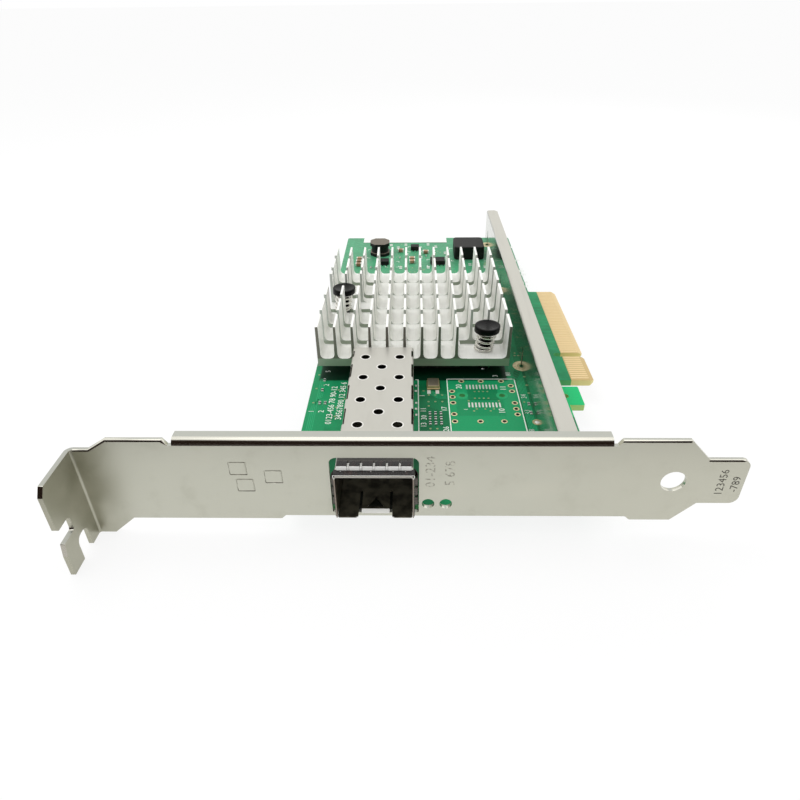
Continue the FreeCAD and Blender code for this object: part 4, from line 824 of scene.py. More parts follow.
class Growth(Nodes):
    """A geometry node tree with named inputs that grows a plain mesh from seed points."""

    def __init__(self, name, material, **inputs):
        tree = bpy.data.node_groups.new(name, "GeometryNodeTree")
        super().__init__(tree)
        self.material = material
        self.values = {}
        self.socket("Seeds", "Geometry")
        for label, value in inputs.items():
            kind = "Int" if isinstance(value, int) else "Float"
            self.values[self.socket(label, kind).identifier] = value
        self.socket("Result", "Geometry", "OUTPUT")
        self.entry = tree.nodes.new("NodeGroupInput")
        self.seeds = self.value("Seeds")

    def socket(self, label, kind, side="INPUT"):
        return self.tree.interface.new_socket(
            label, in_out=side, socket_type="NodeSocket" + kind)

    def value(self, label):
        return Signal(self, self.entry.outputs[label])

    def vector(self, x=0.0, y=0.0, z=0.0):
        return self.add("ShaderNodeCombineXYZ", sockets={0: x, 1: y, 2: z})

    def attribute(self, name):
        return self.add("GeometryNodeInputNamedAttribute", {"data_type": "FLOAT_VECTOR"},
                        {"Name": name})

    def rectangle(self, width, height):
        return self.add("GeometryNodeCurvePrimitiveQuadrilateral", {"mode": "RECTANGLE"},
                        {"Width": width, "Height": height})

    def circle(self, sides, radius):
        return self.add("GeometryNodeCurvePrimitiveCircle", {"mode": "RADIUS"},
                        {"Resolution": sides, "Radius": radius})

    def sweep(self, path, section, **sockets):
        return self.add("GeometryNodeCurveToMesh", sockets={
            "Curve": path, "Profile Curve": section, **sockets})

    def planted(self, shape, material=None, **sockets):
        """One real copy of a shape on each seed, in a material."""
        copies = self.add("GeometryNodeInstanceOnPoints", sockets={
            "Points": self.seeds, "Instance": shape, **sockets})
        real = self.add("GeometryNodeRealizeInstances", sockets={0: copies})
        return self.add("GeometryNodeSetMaterial", sockets={
            "Geometry": real, "Material": finish(material or self.material)})

    def both(self, *shapes):
        node = self.tree.nodes.new("GeometryNodeJoinGeometry")
        for shape in reversed(shapes):
            self.tree.links.new(shape.socket, node.inputs[0])
        return Signal(self, node.outputs[0])

    def grow(self, name, result, seeds, replaces=(), slot=None, smooth=38):
        """Evaluate the tree on seed points, (x, y, z, turn, span), and keep the plain mesh."""
        exit_node = self.tree.nodes.new("NodeGroupOutput")
        self.tree.links.new(result.socket, exit_node.inputs[0])
        mesh = bpy.data.meshes.new(name + "_seeds")
        mesh.from_pydata([Vector(seed[:3]) * MM for seed in seeds], [], [])
        for label, index, default in (("turn", 3, (0, 0, 0)), ("span", 4, (1, 1, 1))):
            layer = mesh.attributes.new(label, "FLOAT_VECTOR", "POINT")
            for item, seed in zip(layer.data, seeds):
                item.vector = seed[index] if len(seed) > index else default
        host = link(name + "_seeds", mesh)
        modifier = host.modifiers.new("growth", "NODES")
        modifier.node_group = self.tree
        for identifier, value in self.values.items():
            modifier[identifier] = value
        grown = evaluated(host)
        grown.name = name
        bpy.data.objects.remove(host)
        bpy.data.meshes.remove(mesh)
        if not grown.polygons:
            raise RuntimeError(f"{name} grew nothing")
        shade(grown, smooth)
        return declare(name, grown, replaces)


def grow_rings(name, seeds, radius, width, height, material, sides, replaces=()):
    """Flat rings lying on the board, one on each seed."""
    tree = Growth("Rings", material, Radius=radius * MM, Width=width * MM, Height=height * MM,
                  Sides=sides)
    path = tree.circle(tree.value("Sides"), tree.value("Radius"))
    section = tree.rectangle(tree.value("Width"), tree.value("Height"))
    tree.grow(name, tree.planted(tree.sweep(path, section)), seeds, replaces)


def grow_discs(name, seeds, radius, height, material, sides):
    """Low domes or plugs, one on each seed."""
    tree = Growth("Discs", material, Radius=radius * MM, Height=height * MM, Sides=sides)
    cone = tree.add("GeometryNodeMeshCone", {"fill_type": "NGON"}, {
        "Vertices": tree.value("Sides"), "Radius Bottom": tree.value("Radius"),
        "Radius Top": tree.value("Radius") * 0.62, "Depth": tree.value("Height")})
    tree.grow(name, tree.planted(cone, Rotation=tree.attribute("turn")), seeds, smooth=50)


def grow_capped(name, seeds, body, cap, material, replaces):
    """Rectangular parts with metal ends; body is (width, length, height), cap the end's length."""
    width, reach, height = body
    tree = Growth("Capped parts", material, Width=width * MM, Length=reach * MM,
                  Height=height * MM, Cap=cap * MM, Proud=0.03 * MM,
                  Rounding=0.12 * min(body) * MM)

    def bar(start, end, extra):
        path = tree.add("GeometryNodeCurvePrimitiveLine", {"mode": "POINTS"}, {
            "Start": tree.vector(y=start), "End": tree.vector(y=end)})
        outline = tree.rectangle(tree.value("Width") + extra, tree.value("Height") + extra)
        outline = tree.add("GeometryNodeFilletCurve", {"mode": "POLY"}, {
            "Curve": outline, "Count": 3, "Radius": tree.value("Rounding")})
        return tree.sweep(path, outline, **{"Fill Caps": True})

    places = {"Rotation": tree.attribute("turn"), "Scale": tree.attribute("span")}
    half = tree.value("Length") / 2
    inner = half - tree.value("Cap")
    proud = tree.value("Proud")
    middle = tree.planted(bar(0 - inner, inner, 0.0), **places)
    caps = tree.both(bar(0 - half, 0 - inner, proud), bar(inner, half, proud))
    ends = tree.planted(caps, "tin", **places)
    tree.grow(name, tree.both(middle, ends), seeds, replaces, smooth=50)


# ---------------------------------------------------------------- circuit board

GRID = 0.4
VIA_LIFT = 0.012
RAIL_ROWS = (27.8, 52.1, 99.0, 139.6)
# Rows of vias: x, y, how many and the step in x
VIA_ROWS = ((39.2, 40.3, 4, 1.0), (39.0, 37.4, 4, 1.05), (37.5, 36.3, 2, 7.0),
            (39.1, 33.0, 3, 1.95), (38.4, 32.2, 2, 3.8), (28.2, 38.8, 3, 1.6),
            (28.1, 36.0, 3, 1.6), (28.1, 34.2, 1, 0), (27.0, 40.6, 1, 0), (28.3, 28.9, 3, 1.3),
            (28.3, 25.4, 2, 1.5), (51.9, 47.0, 1, 0), (51.9, 43.1, 1, 0), (51.9, 39.6, 1, 0),
            (52.7, 38.0, 1, 0), (50.3, 35.8, 1, 0), (51.0, 57.5, 2, 0.9), (1.1, 47.9, 1, 0),
            (1.2, 41.6, 1, 0), (1.2, 35.5, 1, 0), (6.8, 30.0, 1, 0), (6.7, 33.6, 1, 0),
            (6.6, 41.0, 1, 0), (8.4, 37.0, 1, 0))
# Areas strewn with vias: two corners and how many
VIA_AREAS = (((57.3, 47), (59.2, 98), 22), ((49.0, 57), (51.2, 138), 36),
             ((2.0, 103), (50.5, 141), 90))
REAR_PADS = ((20.4, 117.2), (22.4, 129.4), (12.2, 118.0), (27.4, 126.6), (29.8, 117.4),
             (19.2, 136.4), (36.2, 131.0), (37.0, 117.0), (33.0, 137.2), (40.8, 119.4),
             (44.2, 119.8), (36.4, 126.4), (16.6, 139.0), (22.0, 139.4), (30.2, 139.6),
             (49.2, 117.6))
# Plain numerals: height, then text, x and y
NUMERALS = (
    (1.5, ("20", 35.6, 42.5), ("11", 46.2, 41.8), ("10", 44.8, 32.2)),
    (0.9, ("1", 36.6, 32.8)),
    (1.35, ("1", 26.7, 38.5), ("11", 26.9, 32.6), ("13", 26.9, 26.8), ("30", 27.0, 29.6),
     ("17", 31.7, 33.0), ("26", 31.8, 25.3), ("3", 44.9, 47.4), ("80", 48.2, 48.3),
     ("34", 50.6, 38.2), ("33", 50.5, 31.8), ("38", 50.4, 24.4), ("0", 53.4, 47.0),
     ("41", 52.8, 49.2), ("2", 3.5, 43.2), ("1", 1.3, 32.0), ("2", 3.5, 32.0),
     ("5", 3.2, 49.6)),
    (1.5, ("0123-456 78 90-12", 5.6, 34.8), ("34567890 12 345 6", 7.7, 36.6)))
# Printed ticks near the board's edge: x and two ends in y
TICKS = ((59.9, 136.4, 137.6), (60.3, 123.2, 124.6), (60.4, 113.4, 115.4),
         (60.6, 110.6, 112.2), (60.2, 104.2, 105.6), (60.0, 101.2, 102.4))
# Printed corners round parts that aren't fitted: middle, width and length
CORNERED = ((17.4, 121.0, 4.6, 5.2), (25.3, 135.4, 5.0, 5.2), (33.1, 122.2, 7.2, 6.4),
            (44.2, 129.9, 12.4, 12.4), (12.8, 131.1, 8.6, 8.6), (30.4, 133.0, 4.4, 3.4))
TALL_PARTS = ("crystal_can", "power_inductor", "output_choke", "memory_chip", "regulator_chip",
              "driver_chip", "label_strip", "cage_shell")


class CARD_OT_board(bpy.types.Operator):
    """Finish the board, its contacts and its printed and plated details"""
    bl_idname = "card.board"
    bl_label = "Circuit board"

    def execute(self, context):
        look = context.scene.card_board
        for node, material in (("circuit_board", "mask"), ("edge_contacts_front", "gold"),
                               ("edge_contacts_back", "gold"), ("footprint_pads", "tin")):
            paint_node(node, material)
        self.print_legend(look.line_width / MM)
        self.lay_tracks()
        self.plate_holes(look.via_radius / MM)
        return {"FINISHED"}

    def print_legend(self, line):
        """Outlines, plain numerals and short ticks in white."""
        ink = bmesh.new()
        (left, front), (right, rear) = FOOTPRINT
        ribbon(ink, [(left, front), (left, rear), (right, rear), (right, front)], line)
        ribbon(ink, [(25.75, 20.0), (25.75, 45.6), (25.2, 45.6)], line)
        for height, *entries in NUMERALS:
            for entry in entries:
                numerals(ink, *entry, height)
        for x, low, high in TICKS:
            for shift, cut in ((0, 0), (0.6, 0), (1.2, 0.5)):
                ribbon(ink, [(x + shift, low + cut), (x + shift, high)], 0.3)
        ribbon(ink, [(59.6, 116.4), (61.6, 116.4)], line)
        for index in range(7):
            y = 30.6 + 0.8 * index
            ribbon(ink, [(53.3, y), (53.3 + 0.25 * (2 + index % 3), y)], 0.22)
        arm = 0.9
        for x, y, width, reach in CORNERED:
            for sx in (-1, 1):
                for sy in (-1, 1):
                    cx, cy = x + sx * width / 2, y + sy * reach / 2
                    ribbon(ink, [(cx - sx * arm, cy), (cx, cy), (cx, cy - sy * arm)], 0.18)
        add_piece("board_legend", ink, "printing")

    def lay_tracks(self):
        """Raised tracks that turn through half right angles."""
        copper = bmesh.new()
        under = BOARD_BOTTOM - 0.02

        def bundle(count, width, path, level=BOARD_TOP):
            for index in range(count):
                ribbon(copper, path(index), width, level)

        def steps(x, *moves):
            return [(x + aside, y) for aside, y in moves]

        bundle(6, 0.14, lambda n: steps(
            49.9 + 0.32 * n, (0, 24), (0, 45 + n), (-1.2, 46.2 + n), (-1.2, 62)))
        bundle(5, 0.13, lambda n: [
            (26.5, 38.8 + 0.42 * n), (29.0, 38.8 + 0.42 * n),
            (30.4, 38.8 + 0.42 * n - 1.4), (32.3, 38.8 + 0.42 * n - 1.4)])
        bundle(4, 0.13, lambda n: steps(
            1.0 + 0.4 * n, (0, 18), (0, 34 + n), (0.8, 34.8 + n), (0.8, 46)))
        bundle(7, 0.2, lambda n: steps(
            22.0 + 3.9 * n, (0, 101), (0, 106 + n % 3), (1.4, 107.4 + n % 3), (1.4, 117)))
        bundle(9, 0.16, lambda n: steps(
            8.0 + 4.6 * n, (0, 12), (3, 15), (3, 40), (6, 43), (6, 90), (2, 94), (2, 138)), under)
        for index in range(19):
            y = 60.4 + 2.0 * index
            for x, level in (((55.9, 58.6, 59.6), BOARD_TOP), ((40.0, 57.6, 58.6), under)):
                ribbon(copper, [(x[0], y), (x[1], y), (x[2], y + 0.6), (62.9, y + 0.6)], 0.16,
                       level)
        add_piece("board_tracks", copper, "track")

    def plate_holes(self, radius):
        """Vias, the empty footprint's ringed holes and the solder on the lower side."""
        scatter = random.Random(5)

        def strewn(low, high, count):
            return [tuple(round(scatter.uniform(a, b) / GRID) * GRID for a, b in zip(low, high))
                    for _ in range(count)]

        vias = [(x + step * index, y) for x, y, count, step in VIA_ROWS for index in range(count)]
        for area in VIA_AREAS:
            vias += strewn(*area)
        vias = [place for place in dict.fromkeys(vias) if clear_of_parts(*place)]
        large, small, screen = [], [], []
        for middle, span in islands("plated_rings"):
            on_screen = span.x < 2.2 and middle.x < 50
            kind = screen if on_screen else large if middle.y > 40 else small
            kind.append(middle[:2])
        masked = [(36.1, 38.6), (45.5, 38.6)]
        outer = radius - 0.06
        # Name, places, height above the board, radius, width of a ring or 0 for a disc,
        # thickness, material, sides and the node that it stands for
        for name, places, level, reach, width, thick, material, sides, *nodes in (
                ("board_vias", vias, VIA_LIFT, outer, 0.12, 0.024, "copper", 10),
                ("board_via_plugs", vias, 0.008, radius - 0.1, 0, 0.016, "track", 8),
                ("rail_rings", large, 0.03, 1.72, 1.54, 0.06, "flash", 40, "plated_rings"),
                ("rail_ring_scorch", large, 0.045, 1.15, 0.5, 0.04, "copper", 32),
                ("test_ring", small, 0.03, 0.83, 0.46, 0.06, "copper", 28),
                ("test_plug", small, 0.03, 0.55, 0, 0.06, "tin", 20),
                ("screen_rings", screen, 0.025, 0.58, 0.26, 0.05, "flash", 24),
                # Dark discs painted as the shade inside the open holes
                ("screen_holes", screen, 0.012, 0.5, 0, 0.02, "hole", 20),
                ("tented_holes", masked, 0.01, 0.75, 0, 0.02, "hole_green", 24),
                ("tented_halos", masked, 0.006, 1.05, 0.7, 0.012, "halo", 24)):
            seeds = [(*place, level) for place in places]
            if width:
                grow_rings(name, seeds, reach, width, thick, material, sides, nodes)
            else:
                grow_discs(name, seeds, reach, thick, material, sides)
        self.tin_pads()

        below = [(*place, BOARD_BOTTOM - VIA_LIFT)
                 for place in dict.fromkeys(strewn((2, 12), (59, 145), 260))]
        grow_rings("solder_side_vias", below, outer, 0.12, 0.024, "copper", 10)
        joints = [(x, 9.35 + 10 * index) for x in (CAGE_LOW.x + 0.12, CAGE_HIGH.x - 0.12)
                  for index in range(4)]
        joints += [(RAIL_X + 0.3, row - 0.35) for row in RAIL_ROWS[1:]]
        flipped = (math.pi, 0, 0)
        joints = [(*place, BOARD_BOTTOM - 0.2, flipped) for place in joints]
        grow_discs("solder_joints", joints, 1.05, 0.4, "tin", 18)

    def tin_pads(self):
        """Bare pads of small parts that aren't fitted."""
        spots = bmesh.new()
        for x in (28.3, 30.3):
            brick(spots, (x - 0.42, 39.3, 0), (x + 0.42, 40.9, 0.05))
        for index, y in enumerate((30.6, 33.0, 35.4, 40.5, 42.8)):
            brick(spots, (25.0 - 0.1 * (index % 2), y - 0.35, 0), (25.45, y + 0.35, 0.08))
        for x, y in REAR_PADS:
            for low, high in ((-0.35, 0.35), (0.9, 1.6)):
                brick(spots, (x - 0.5, y + low, 0), (x + 0.5, y + high, 0.05))
        add_piece("bare_pads", spots, "tin")


def clear_of_parts(x, y, room=0.4, washer=3.0):
    """True where a via would lie free, not under a component or a lug of the rail."""
    for node in TALL_PARTS:
        low, high = mm_box(node)
        if low.x - room < x < high.x + room and low.y - room < y < high.y + room:
            return False
    return not any(math.hypot(x - RAIL_X - 0.3, y - row) < washer for row in RAIL_ROWS)


# ---------------------------------------------------------------- steel parts

FLANGE_START = -18.5
FLANGE_END = 62.0
PLATE_SHOULDER = 11.9


class CARD_OT_bracket(bpy.types.Operator):
    """Soften the bracket's edges and stamp plain marks in its face"""
    bl_idname = "card.bracket"
    bl_label = "Bracket"

    def execute(self, context):
        look = context.scene.card_steel
        shape = joined("bracket")
        self.round_edges(shape, self.corner, 35, offset=look.corner, segments=4,
                         clamp_overlap=True)
        self.round_edges(shape, self.pressed_edge, 60, offset=look.roll, segments=5,
                         clamp_overlap=False)
        piece = add_piece("bracket_body", shape, "bracket", ["bracket"])
        soften(piece, look.bracket_edge / MM, 3, 40)
        self.stamp(piece, look.stamp_depth / MM)
        dressed("bracket_screw_set", "bracket_screws", "bright", 0.08)
        self.cut_drives()
        return {"FINISHED"}

    @staticmethod
    def corner(first, second, middle):
        """True for an edge across the sheet at a corner of the plate's or the tab's outline."""
        run = second - first
        across = 0.5 < run.length < 1.2 and max(abs(run.x), abs(run.y)) > 0.99 * run.length
        plate_end = middle.x > FLANGE_END and middle.y < 1
        tab_end = middle.x < BRACKET_LOW.x + 1 and middle.y < -0.5
        return across and (plate_end or tab_end)

    @staticmethod
    def pressed_edge(first, second, middle):
        """True for an upper front edge at one of the plate's ends, but not the diagonal one."""
        front = max(abs(first.y), abs(second.y)) < 0.01
        end = middle.x > FLANGE_END or middle.x < FLANGE_START
        diagonal = middle.x > FLANGE_END and abs(first.z - second.z) > 1.0
        return front and end and middle.z > PLATE_SHOULDER and not diagonal

    @staticmethod
    def round_edges(shape, chosen, least_angle, **shaping):
        """Round the edges that a test picks by their ends and middle in millimetres."""
        edges = []
        for edge in shape.edges:
            first, second = (vert.co / MM for vert in edge.verts)
            sharp = edge.calc_face_angle(0) > math.radians(least_angle)
            if sharp and chosen(first, second, (first + second) / 2):
                edges.append(edge)
        bmesh.ops.bevel(shape, geom=edges, affect="EDGES", profile=0.5, **shaping)

    @staticmethod
    def stamp(piece, depth):
        """Sink three plain squares and strike rows of plain numerals in the outer face."""
        marks = bmesh.new()
        side, half, start = 1.5, 0.1, -1
        gauge = side - half
        for x, z in ((-6.8, 9.9), (-5.9, 6.0), (-0.6, 8.0)):
            for way in (-1, 1):
                row, column = z + way * gauge, x + way * side
                brick(marks, (x - side, start, row - half), (x + side, depth, row + half))
                brick(marks, (column - half, start, z - gauge), (column + half, depth, z + gauge))
        carve(piece, marks)
        level_faces(piece)
        for name, material, entries in (
                ("faint_numerals", "faint_stamp", (("01-234", 27.6, 9.2, 1.9),
                                                   ("5 678", 31.1, 8.9, 1.9))),
                ("stamped_numerals", "stamp", (("123456", 79.4, 6.9, 1.5),
                                               ("-789", 81.9, 6.5, 1.5)))):
            shape = bmesh.new()
            for entry in entries:
                numerals(shape, *entry, upright=True)
            add_piece(name, shape, material)

    @staticmethod
    def cut_drives():
        """Cross recesses in the two screw heads, painted dark as their shade."""
        low, high = mm_box("bracket_screws")
        cross = bmesh.new()
        y = (low.y + high.y) / 2
        for x in (low.x + 2.3, high.x - 2.3):
            for a, b in ((1.1, 0.22), (0.22, 1.1)):
                brick(cross, (x - a, y - b, low.z - 0.002), (x + a, y + b, low.z + 0.05))
        add_piece("screw_recesses", cross, "hole")


# Small lugs in front of the grounding fingers
LUGS = (11.6, 17.0, 20.9, 23.1)


class CARD_OT_cage(bpy.types.Operator):
    """Finish the cage, its floor, its socket and its grounding fingers"""
    bl_idname = "card.cage"
    bl_label = "Transceiver cage"

    def execute(self, context):
        edge = context.scene.card_steel.edge / MM
        dressed("cage_sheet", "cage_shell", "cage", edge)
        self.rim_vents()
        dressed("cage_floor_sheet", "cage_floor", "cage_inside", edge * 0.7)
        dressed("socket_body", "host_socket", "plastic", 0.12)
        paint_node("host_contacts", "gold")
        collar = joined("cage_spring_collar")
        top = CAGE_HIGH.z
        # Bars in the slots between the fingers, which the collar's finish paints with a highlight
        # for the light that comes through
        for index in range(-2, 3):
            x = CAGE_MIDDLE + FINGER_PITCH * index
            brick(collar, (x - 0.19, -0.44, top + 0.1), (x + 0.19, 0.9, top + 0.7))
        for x in LUGS:
            brick(collar, (x - 0.1, -0.8, top + 0.1), (x + 0.1, -0.62, top + 0.18))
        soften(add_piece("spring_collar", collar, "collar", ["cage_spring_collar"]), 0.03, 1)
        return {"FINISHED"}

    @staticmethod
    def rim_vents():
        """Raised rims where the vents were punched, painted white as their highlight."""
        first, last = 4.63, CAGE_HIGH.y - 4.57
        pitch = (last - first) / 4
        top = CAGE_HIGH.z + 0.008
        seeds = [(CAGE_MIDDLE + side * 3.93, first + pitch * row, top)
                 for row in range(5) for side in (-1, 1)]
        seeds += [(CAGE_MIDDLE, first + pitch * (row + 0.5), top) for row in range(4)]
        grow_rings("vent_rims", seeds, 1.1, 0.22, 0.03, "burnish", 28)


class CARD_OT_rail(bpy.types.Operator):
    """Finish the rail and the reliefs beside its lugs, which are painted dark as the shade in their
    slots
    """
    bl_idname = "card.rail"
    bl_label = "Stiffening rail"

    def execute(self, context):
        dressed("rail_body", "stiffener_rail", "rail", 0.1)
        reliefs = bmesh.new()
        # Dark strips painted as the shade in each relief slot of the wall and along its foot on the
        # board
        for row in RAIL_ROWS[1:]:
            brick(reliefs, (RAIL_X - 0.012, row - 0.3, 0.05), (RAIL_X + 0.05, row + 0.3, 3.2))
            brick(reliefs, (RAIL_X - 0.3, row - 0.25, 0.05), (RAIL_X, row + 0.25, 0.09))
        add_piece("rail_reliefs", reliefs, "hole")
        return {"FINISHED"}


# ---------------------------------------------------------------- heat sink

class CARD_OT_sink(bpy.types.Operator):
    """Finish the heat sink, its push pins and their springs"""
    bl_idname = "card.sink"
    bl_label = "Heat sink"

    def execute(self, context):
        look = context.scene.card_sink
        dressed("sink_body", "heat_sink", "aluminium", look.edge / MM, 2, 40)
        paint_node("controller_chip", "epoxy")
        paint_node("thermal_pad", "pad")
        for name in ("front", "rear"):
            self.turn_pin(name)
            self.wind_spring(name, look.wire / MM, look.turns)
        return {"FINISHED"}

    def turn_pin(self, name):
        """A pin with a rounded, slightly dished head and a slit barb below the board."""
        low, high = mm_box("push_pin_" + name)
        x, y = (low.x + high.x) / 2, (low.y + high.y) / 2
        top, radius = high.z, (high.x - low.x) / 2
        under = BOARD_BOTTOM - 0.15
        shank, barb = 1.3, 1.93
        pin = bmesh.new()
        lathe(pin, [(0, top - 0.06), (radius - 0.75, top - 0.06), (radius - 0.6, top),
                    (radius - 0.12, top), (radius - 0.04, top - 0.04), (radius, top - 0.12),
                    (radius, top - 1.4), (radius - 0.04, top - 1.48), (radius - 0.14, top - 1.52),
                    (shank, top - 1.5), (shank, under), (barb, under), (barb, under - 0.45),
                    (0.92, low.z), (0, low.z)], (x, y), 48)
        piece = add_piece("pin_" + name, pin, "plastic", ["push_pin_" + name])
        slit = bmesh.new()
        brick(slit, (x - 0.35, y - 3, low.z - 1), (x + 0.35, y + 3, 0.0))
        carve(piece, slit)
        shade(piece.data)
        self.lean(piece, 1.0)

    @staticmethod
    def lean(piece, share):
        """Let a pin or its looser spring lean sideways by the slack round it."""
        look = bpy.context.scene.card_sink
        for vert in piece.data.vertices:
            height = vert.co.z - look.pivot
            vert.co.x += max(share * math.tan(look.lean) * height, -share * look.slack)

    def wind_spring(self, name, wire, turns):
        """A round wire wound upwards, with its two end turns closed flat."""
        low, high = mm_box("pin_spring_" + name)
        x, y = (low.x + high.x) / 2, (low.y + high.y) / 2
        outer = (high.x - low.x) / 2 - 0.1
        tree = Growth("Pin spring", "bright", Turns=turns, Radius=(outer - wire) * MM,
                      Wire=wire * MM, Rise=(high.z - low.z - 2 * wire) * MM, Closed=0.13)
        closed = tree.value("Closed")
        coil = tree.add("GeometryNodeCurveSpiral", sockets={
            "Resolution": 30, "Rotations": tree.value("Turns"), "Height": 0.0,
            "Start Radius": tree.value("Radius"), "End Radius": tree.value("Radius")})
        level = tree.add("ShaderNodeMapRange", {"clamp": True}, {
            "Value": tree.add("GeometryNodeSplineParameter"),
            "From Min": closed, "From Max": 1 - closed})
        coil = tree.add("GeometryNodeSetPosition", sockets={
            "Geometry": coil, "Offset": tree.vector(z=level * tree.value("Rise"))})
        solid = tree.sweep(coil, tree.circle(12, tree.value("Wire")), **{"Fill Caps": True})
        coil = tree.grow("coil_" + name, tree.planted(solid), [(x, y, low.z + wire)],
                         ["pin_spring_" + name], "spring_steel", 60)
        self.lean(coil, 1.7)


# ---------------------------------------------------------------- small parts

class CARD_OT_parts(bpy.types.Operator):
    """Finish the chips, coils, crystal, passives, lights and label"""
    bl_idname = "card.parts"
    bl_label = "Parts on the board"

    def execute(self, context):
        dressed("inductor_body", "power_inductor", "ferrite", 0.45, 4, 40)
        dressed("choke_body", "output_choke", "choke", 0.12, 2, 40)
        dressed("crystal_body", "crystal_can", "crystal", 0.12, 3, 40)
        for node in ("memory_chip", "regulator_chip", "driver_chip"):
            dressed(node + "_body", node, "epoxy", 0.06, 1, 40)
        paint_node("indicator_lights", "lens")
        paint_node("label_strip", "paper")
        self.fit_passives("bulk_capacitors", "ceramic", 0.32, True)
        self.fit_passives("underside_capacitors", "ceramic", 0.36, False)
        self.fit_passives("chip_resistors", "glaze", 0.22, False)
        return {"FINISHED"}

    @staticmethod
    def fit_passives(node, material, cap, crosswise):
        """Parts with tinned ends in the places of a node's solids."""
        found = islands(node)
        span = found[0][1]
        body = (span.y, span.x, span.z) if crosswise else tuple(span)
        turn = (0, 0, math.pi / 2 if crosswise else 0)
        seeds = [(*middle, turn, (0.97, 0.97, 0.97)) for middle, _ in found]
        grow_capped(node + "_fitted", seeds, body, cap, material, [node])


# ---------------------------------------------------------------- stage

LENS = 28.268
PITCH, YAW, ROLL = 33.85, -1.301, 0.713
STAND = (24.211, -85.55, 81.995)
WHITE = (1.0, 1.0, 1.0)


def set_up(name, shape):
    """A piece of the stage."""
    piece = link(name, mesh_of(name, shape))
    return piece


def seen_rays(tree):
    """Camera rays alone, and together with those thrown back and those let through."""
    camera, glossy, through = (tree.add("ShaderNodeLightPath", output=index)
                               for index in (0, 3, 6))
    return camera, camera.most(glossy).most(through)


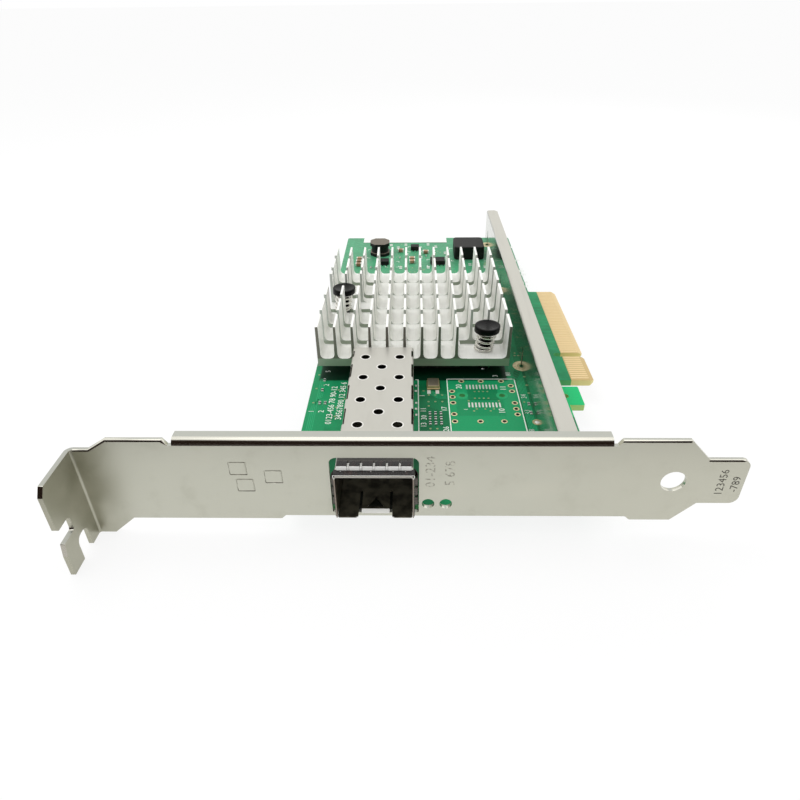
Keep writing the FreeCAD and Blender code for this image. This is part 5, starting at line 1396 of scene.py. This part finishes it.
class CARD_OT_stage(bpy.types.Operator):
    """Floor, light, backdrop and camera"""
    bl_idname = "card.stage"
    bl_label = "Stage"

    def execute(self, context):
        look = context.scene.card_stage
        context.scene.view_settings.view_transform = "Standard"
        self.set_camera()
        self.lay_floor()
        self.lay_black_card()
        self.set_world(look)
        self.hang_lamps(look)
        return {"FINISHED"}

    @staticmethod
    def set_camera():
        pitch, yaw, roll = (math.radians(angle) for angle in (PITCH, YAW, ROLL))
        forward = Vector((math.sin(yaw) * math.cos(pitch), math.cos(yaw) * math.cos(pitch),
                          -math.sin(pitch)))
        right = Vector((math.cos(yaw), -math.sin(yaw), 0))
        down = forward.cross(right)
        across = right * math.cos(roll) + down * math.sin(roll)
        below = down * math.cos(roll) - right * math.sin(roll)
        camera = bpy.data.cameras.new("camera")
        camera.sensor_width = 36
        camera.lens = LENS
        camera.clip_start = 0.001
        holder = link("camera", camera)
        turn = Matrix((across, -below, -forward)).transposed()
        holder.matrix_world = Matrix.Translation(Vector(STAND) * MM) @ turn.to_4x4()
        bpy.context.scene.camera = holder

    @staticmethod
    def lay_floor():
        floor = bmesh.new()
        level = BRACKET_LOW.z - 0.05
        bmesh.ops.create_grid(floor, x_segments=1, y_segments=1, size=3.0)
        bmesh.ops.translate(floor, vec=(0, 0, level * MM), verts=floor.verts)
        piece = set_up("floor", floor)
        material = bpy.data.materials.new("floor_white")
        material.use_nodes = True
        piece.data.materials.append(material)
        white = Nodes(material.node_tree)
        _, seen = seen_rays(white)
        matt = white.add("ShaderNodeBsdfDiffuse", sockets={"Color": "stage.floor"})
        glow = white.add("ShaderNodeEmission", sockets={"Color": "stage.floor", "Strength": 1.0})
        mixed = white.add("ShaderNodeMixShader", sockets={0: seen * 0.86, 1: matt, 2: glow})
        white.add("ShaderNodeOutputMaterial", sockets={"Surface": mixed})

    @staticmethod
    def lay_black_card():
        """Black card before the stage that only shines in the metal: no other ray meets it."""
        level = BRACKET_LOW.z + 0.3
        card = bmesh.new()
        corners = [(-900, -900, level), (900, -900, level), (900, -40, level), (-900, -40, level)]
        card.faces.new([card.verts.new(Vector(corner) * MM) for corner in corners])
        piece = set_up("black_card", card)
        for ray in ("camera", "diffuse", "shadow", "transmission"):
            setattr(piece, "visible_" + ray, False)
        felt = Finish("black_card", "2A201A")
        felt.coat("3A2C22", felt.noise(0.02, 2.0))
        piece.data.materials.append(felt.done(0.9))

    @staticmethod
    def set_world(look):
        world = bpy.data.worlds.new("studio")
        world.use_nodes = True
        bpy.context.scene.world = world
        sky = Nodes(world.node_tree)
        direction = sky.add("ShaderNodeTexCoord", output=0)
        y, z = (sky.add("ShaderNodeSeparateXYZ", sockets={0: direction}, output=index)
                for index in (1, 2))
        camera_ray, seen = seen_rays(sky)
        front = sky.smooth(y, -0.15, -0.4)
        low = sky.smooth(z, 0.84, 0.7)
        reflected = sky.mix((0.97, 0.97, 0.95), "3A2A20", front * low)
        reflected = sky.mix(reflected, (1.3, 1.3, 1.28), sky.smooth(z, 0.8, 0.9))
        shown = sky.mix(reflected, WHITE, camera_ray)
        bright = sky.add("ShaderNodeBackground", sockets={"Color": shown, "Strength": 1.0})
        fill = sky.add("ShaderNodeBackground", sockets={"Color": WHITE, "Strength": look.fill})
        mixed = sky.add("ShaderNodeMixShader", sockets={0: seen, 1: fill, 2: bright})
        sky.add("ShaderNodeOutputWorld", sockets={"Surface": mixed})

    @staticmethod
    def hang_lamps(look):
        target = Vector((0.024, 0.07, 0.0))
        for name, place, size, power in (("key", (-0.12, 0.10, 0.34), 0.22, look.key),
                                         ("rim", (0.20, 0.36, 0.24), 0.2, look.key * 0.6)):
            lamp = bpy.data.lights.new(name, "AREA")
            lamp.size = size
            lamp.energy = power
            holder = link(name, lamp)
            holder.visible_glossy = False
            aim = (Vector(place) - target).to_track_quat("Z", "Y").to_matrix().to_4x4()
            holder.matrix_world = Matrix.Translation(place) @ aim


# ---------------------------------------------------------------- add-on

class CARD_PT_panel(bpy.types.Panel):
    """Buttons that make each group of pieces"""
    bl_idname = "CARD_PT_panel"
    bl_label = "Network card"
    bl_space_type = "VIEW_3D"
    bl_region_type = "UI"
    bl_category = "Card"

    def draw(self, context):
        for operator in OPERATORS:
            self.layout.operator(operator.bl_idname)
        for name, settings in SETTINGS.items():
            box = self.layout.box()
            box.label(text=settings.__doc__)
            for entry in settings.__annotations__:
                box.prop(getattr(context.scene, "card_" + name), entry)


OPERATORS = (CARD_OT_board, CARD_OT_bracket, CARD_OT_cage, CARD_OT_rail, CARD_OT_sink,
             CARD_OT_parts, CARD_OT_stage)


def register():
    for name, settings in SETTINGS.items():
        bpy.utils.register_class(settings)
        setattr(bpy.types.Scene, "card_" + name, bpy.props.PointerProperty(type=settings))
    for operator in (*OPERATORS, CARD_PT_panel):
        bpy.utils.register_class(operator)


def unregister():
    for operator in (CARD_PT_panel, *reversed(OPERATORS)):
        bpy.utils.unregister_class(operator)
    for name, settings in SETTINGS.items():
        delattr(bpy.types.Scene, "card_" + name)
        bpy.utils.unregister_class(settings)


def main():
    register()
    for operator in OPERATORS:
        getattr(bpy.ops.card, operator.bl_idname.split(".")[1])()


if __name__ == "__main__":
    main()
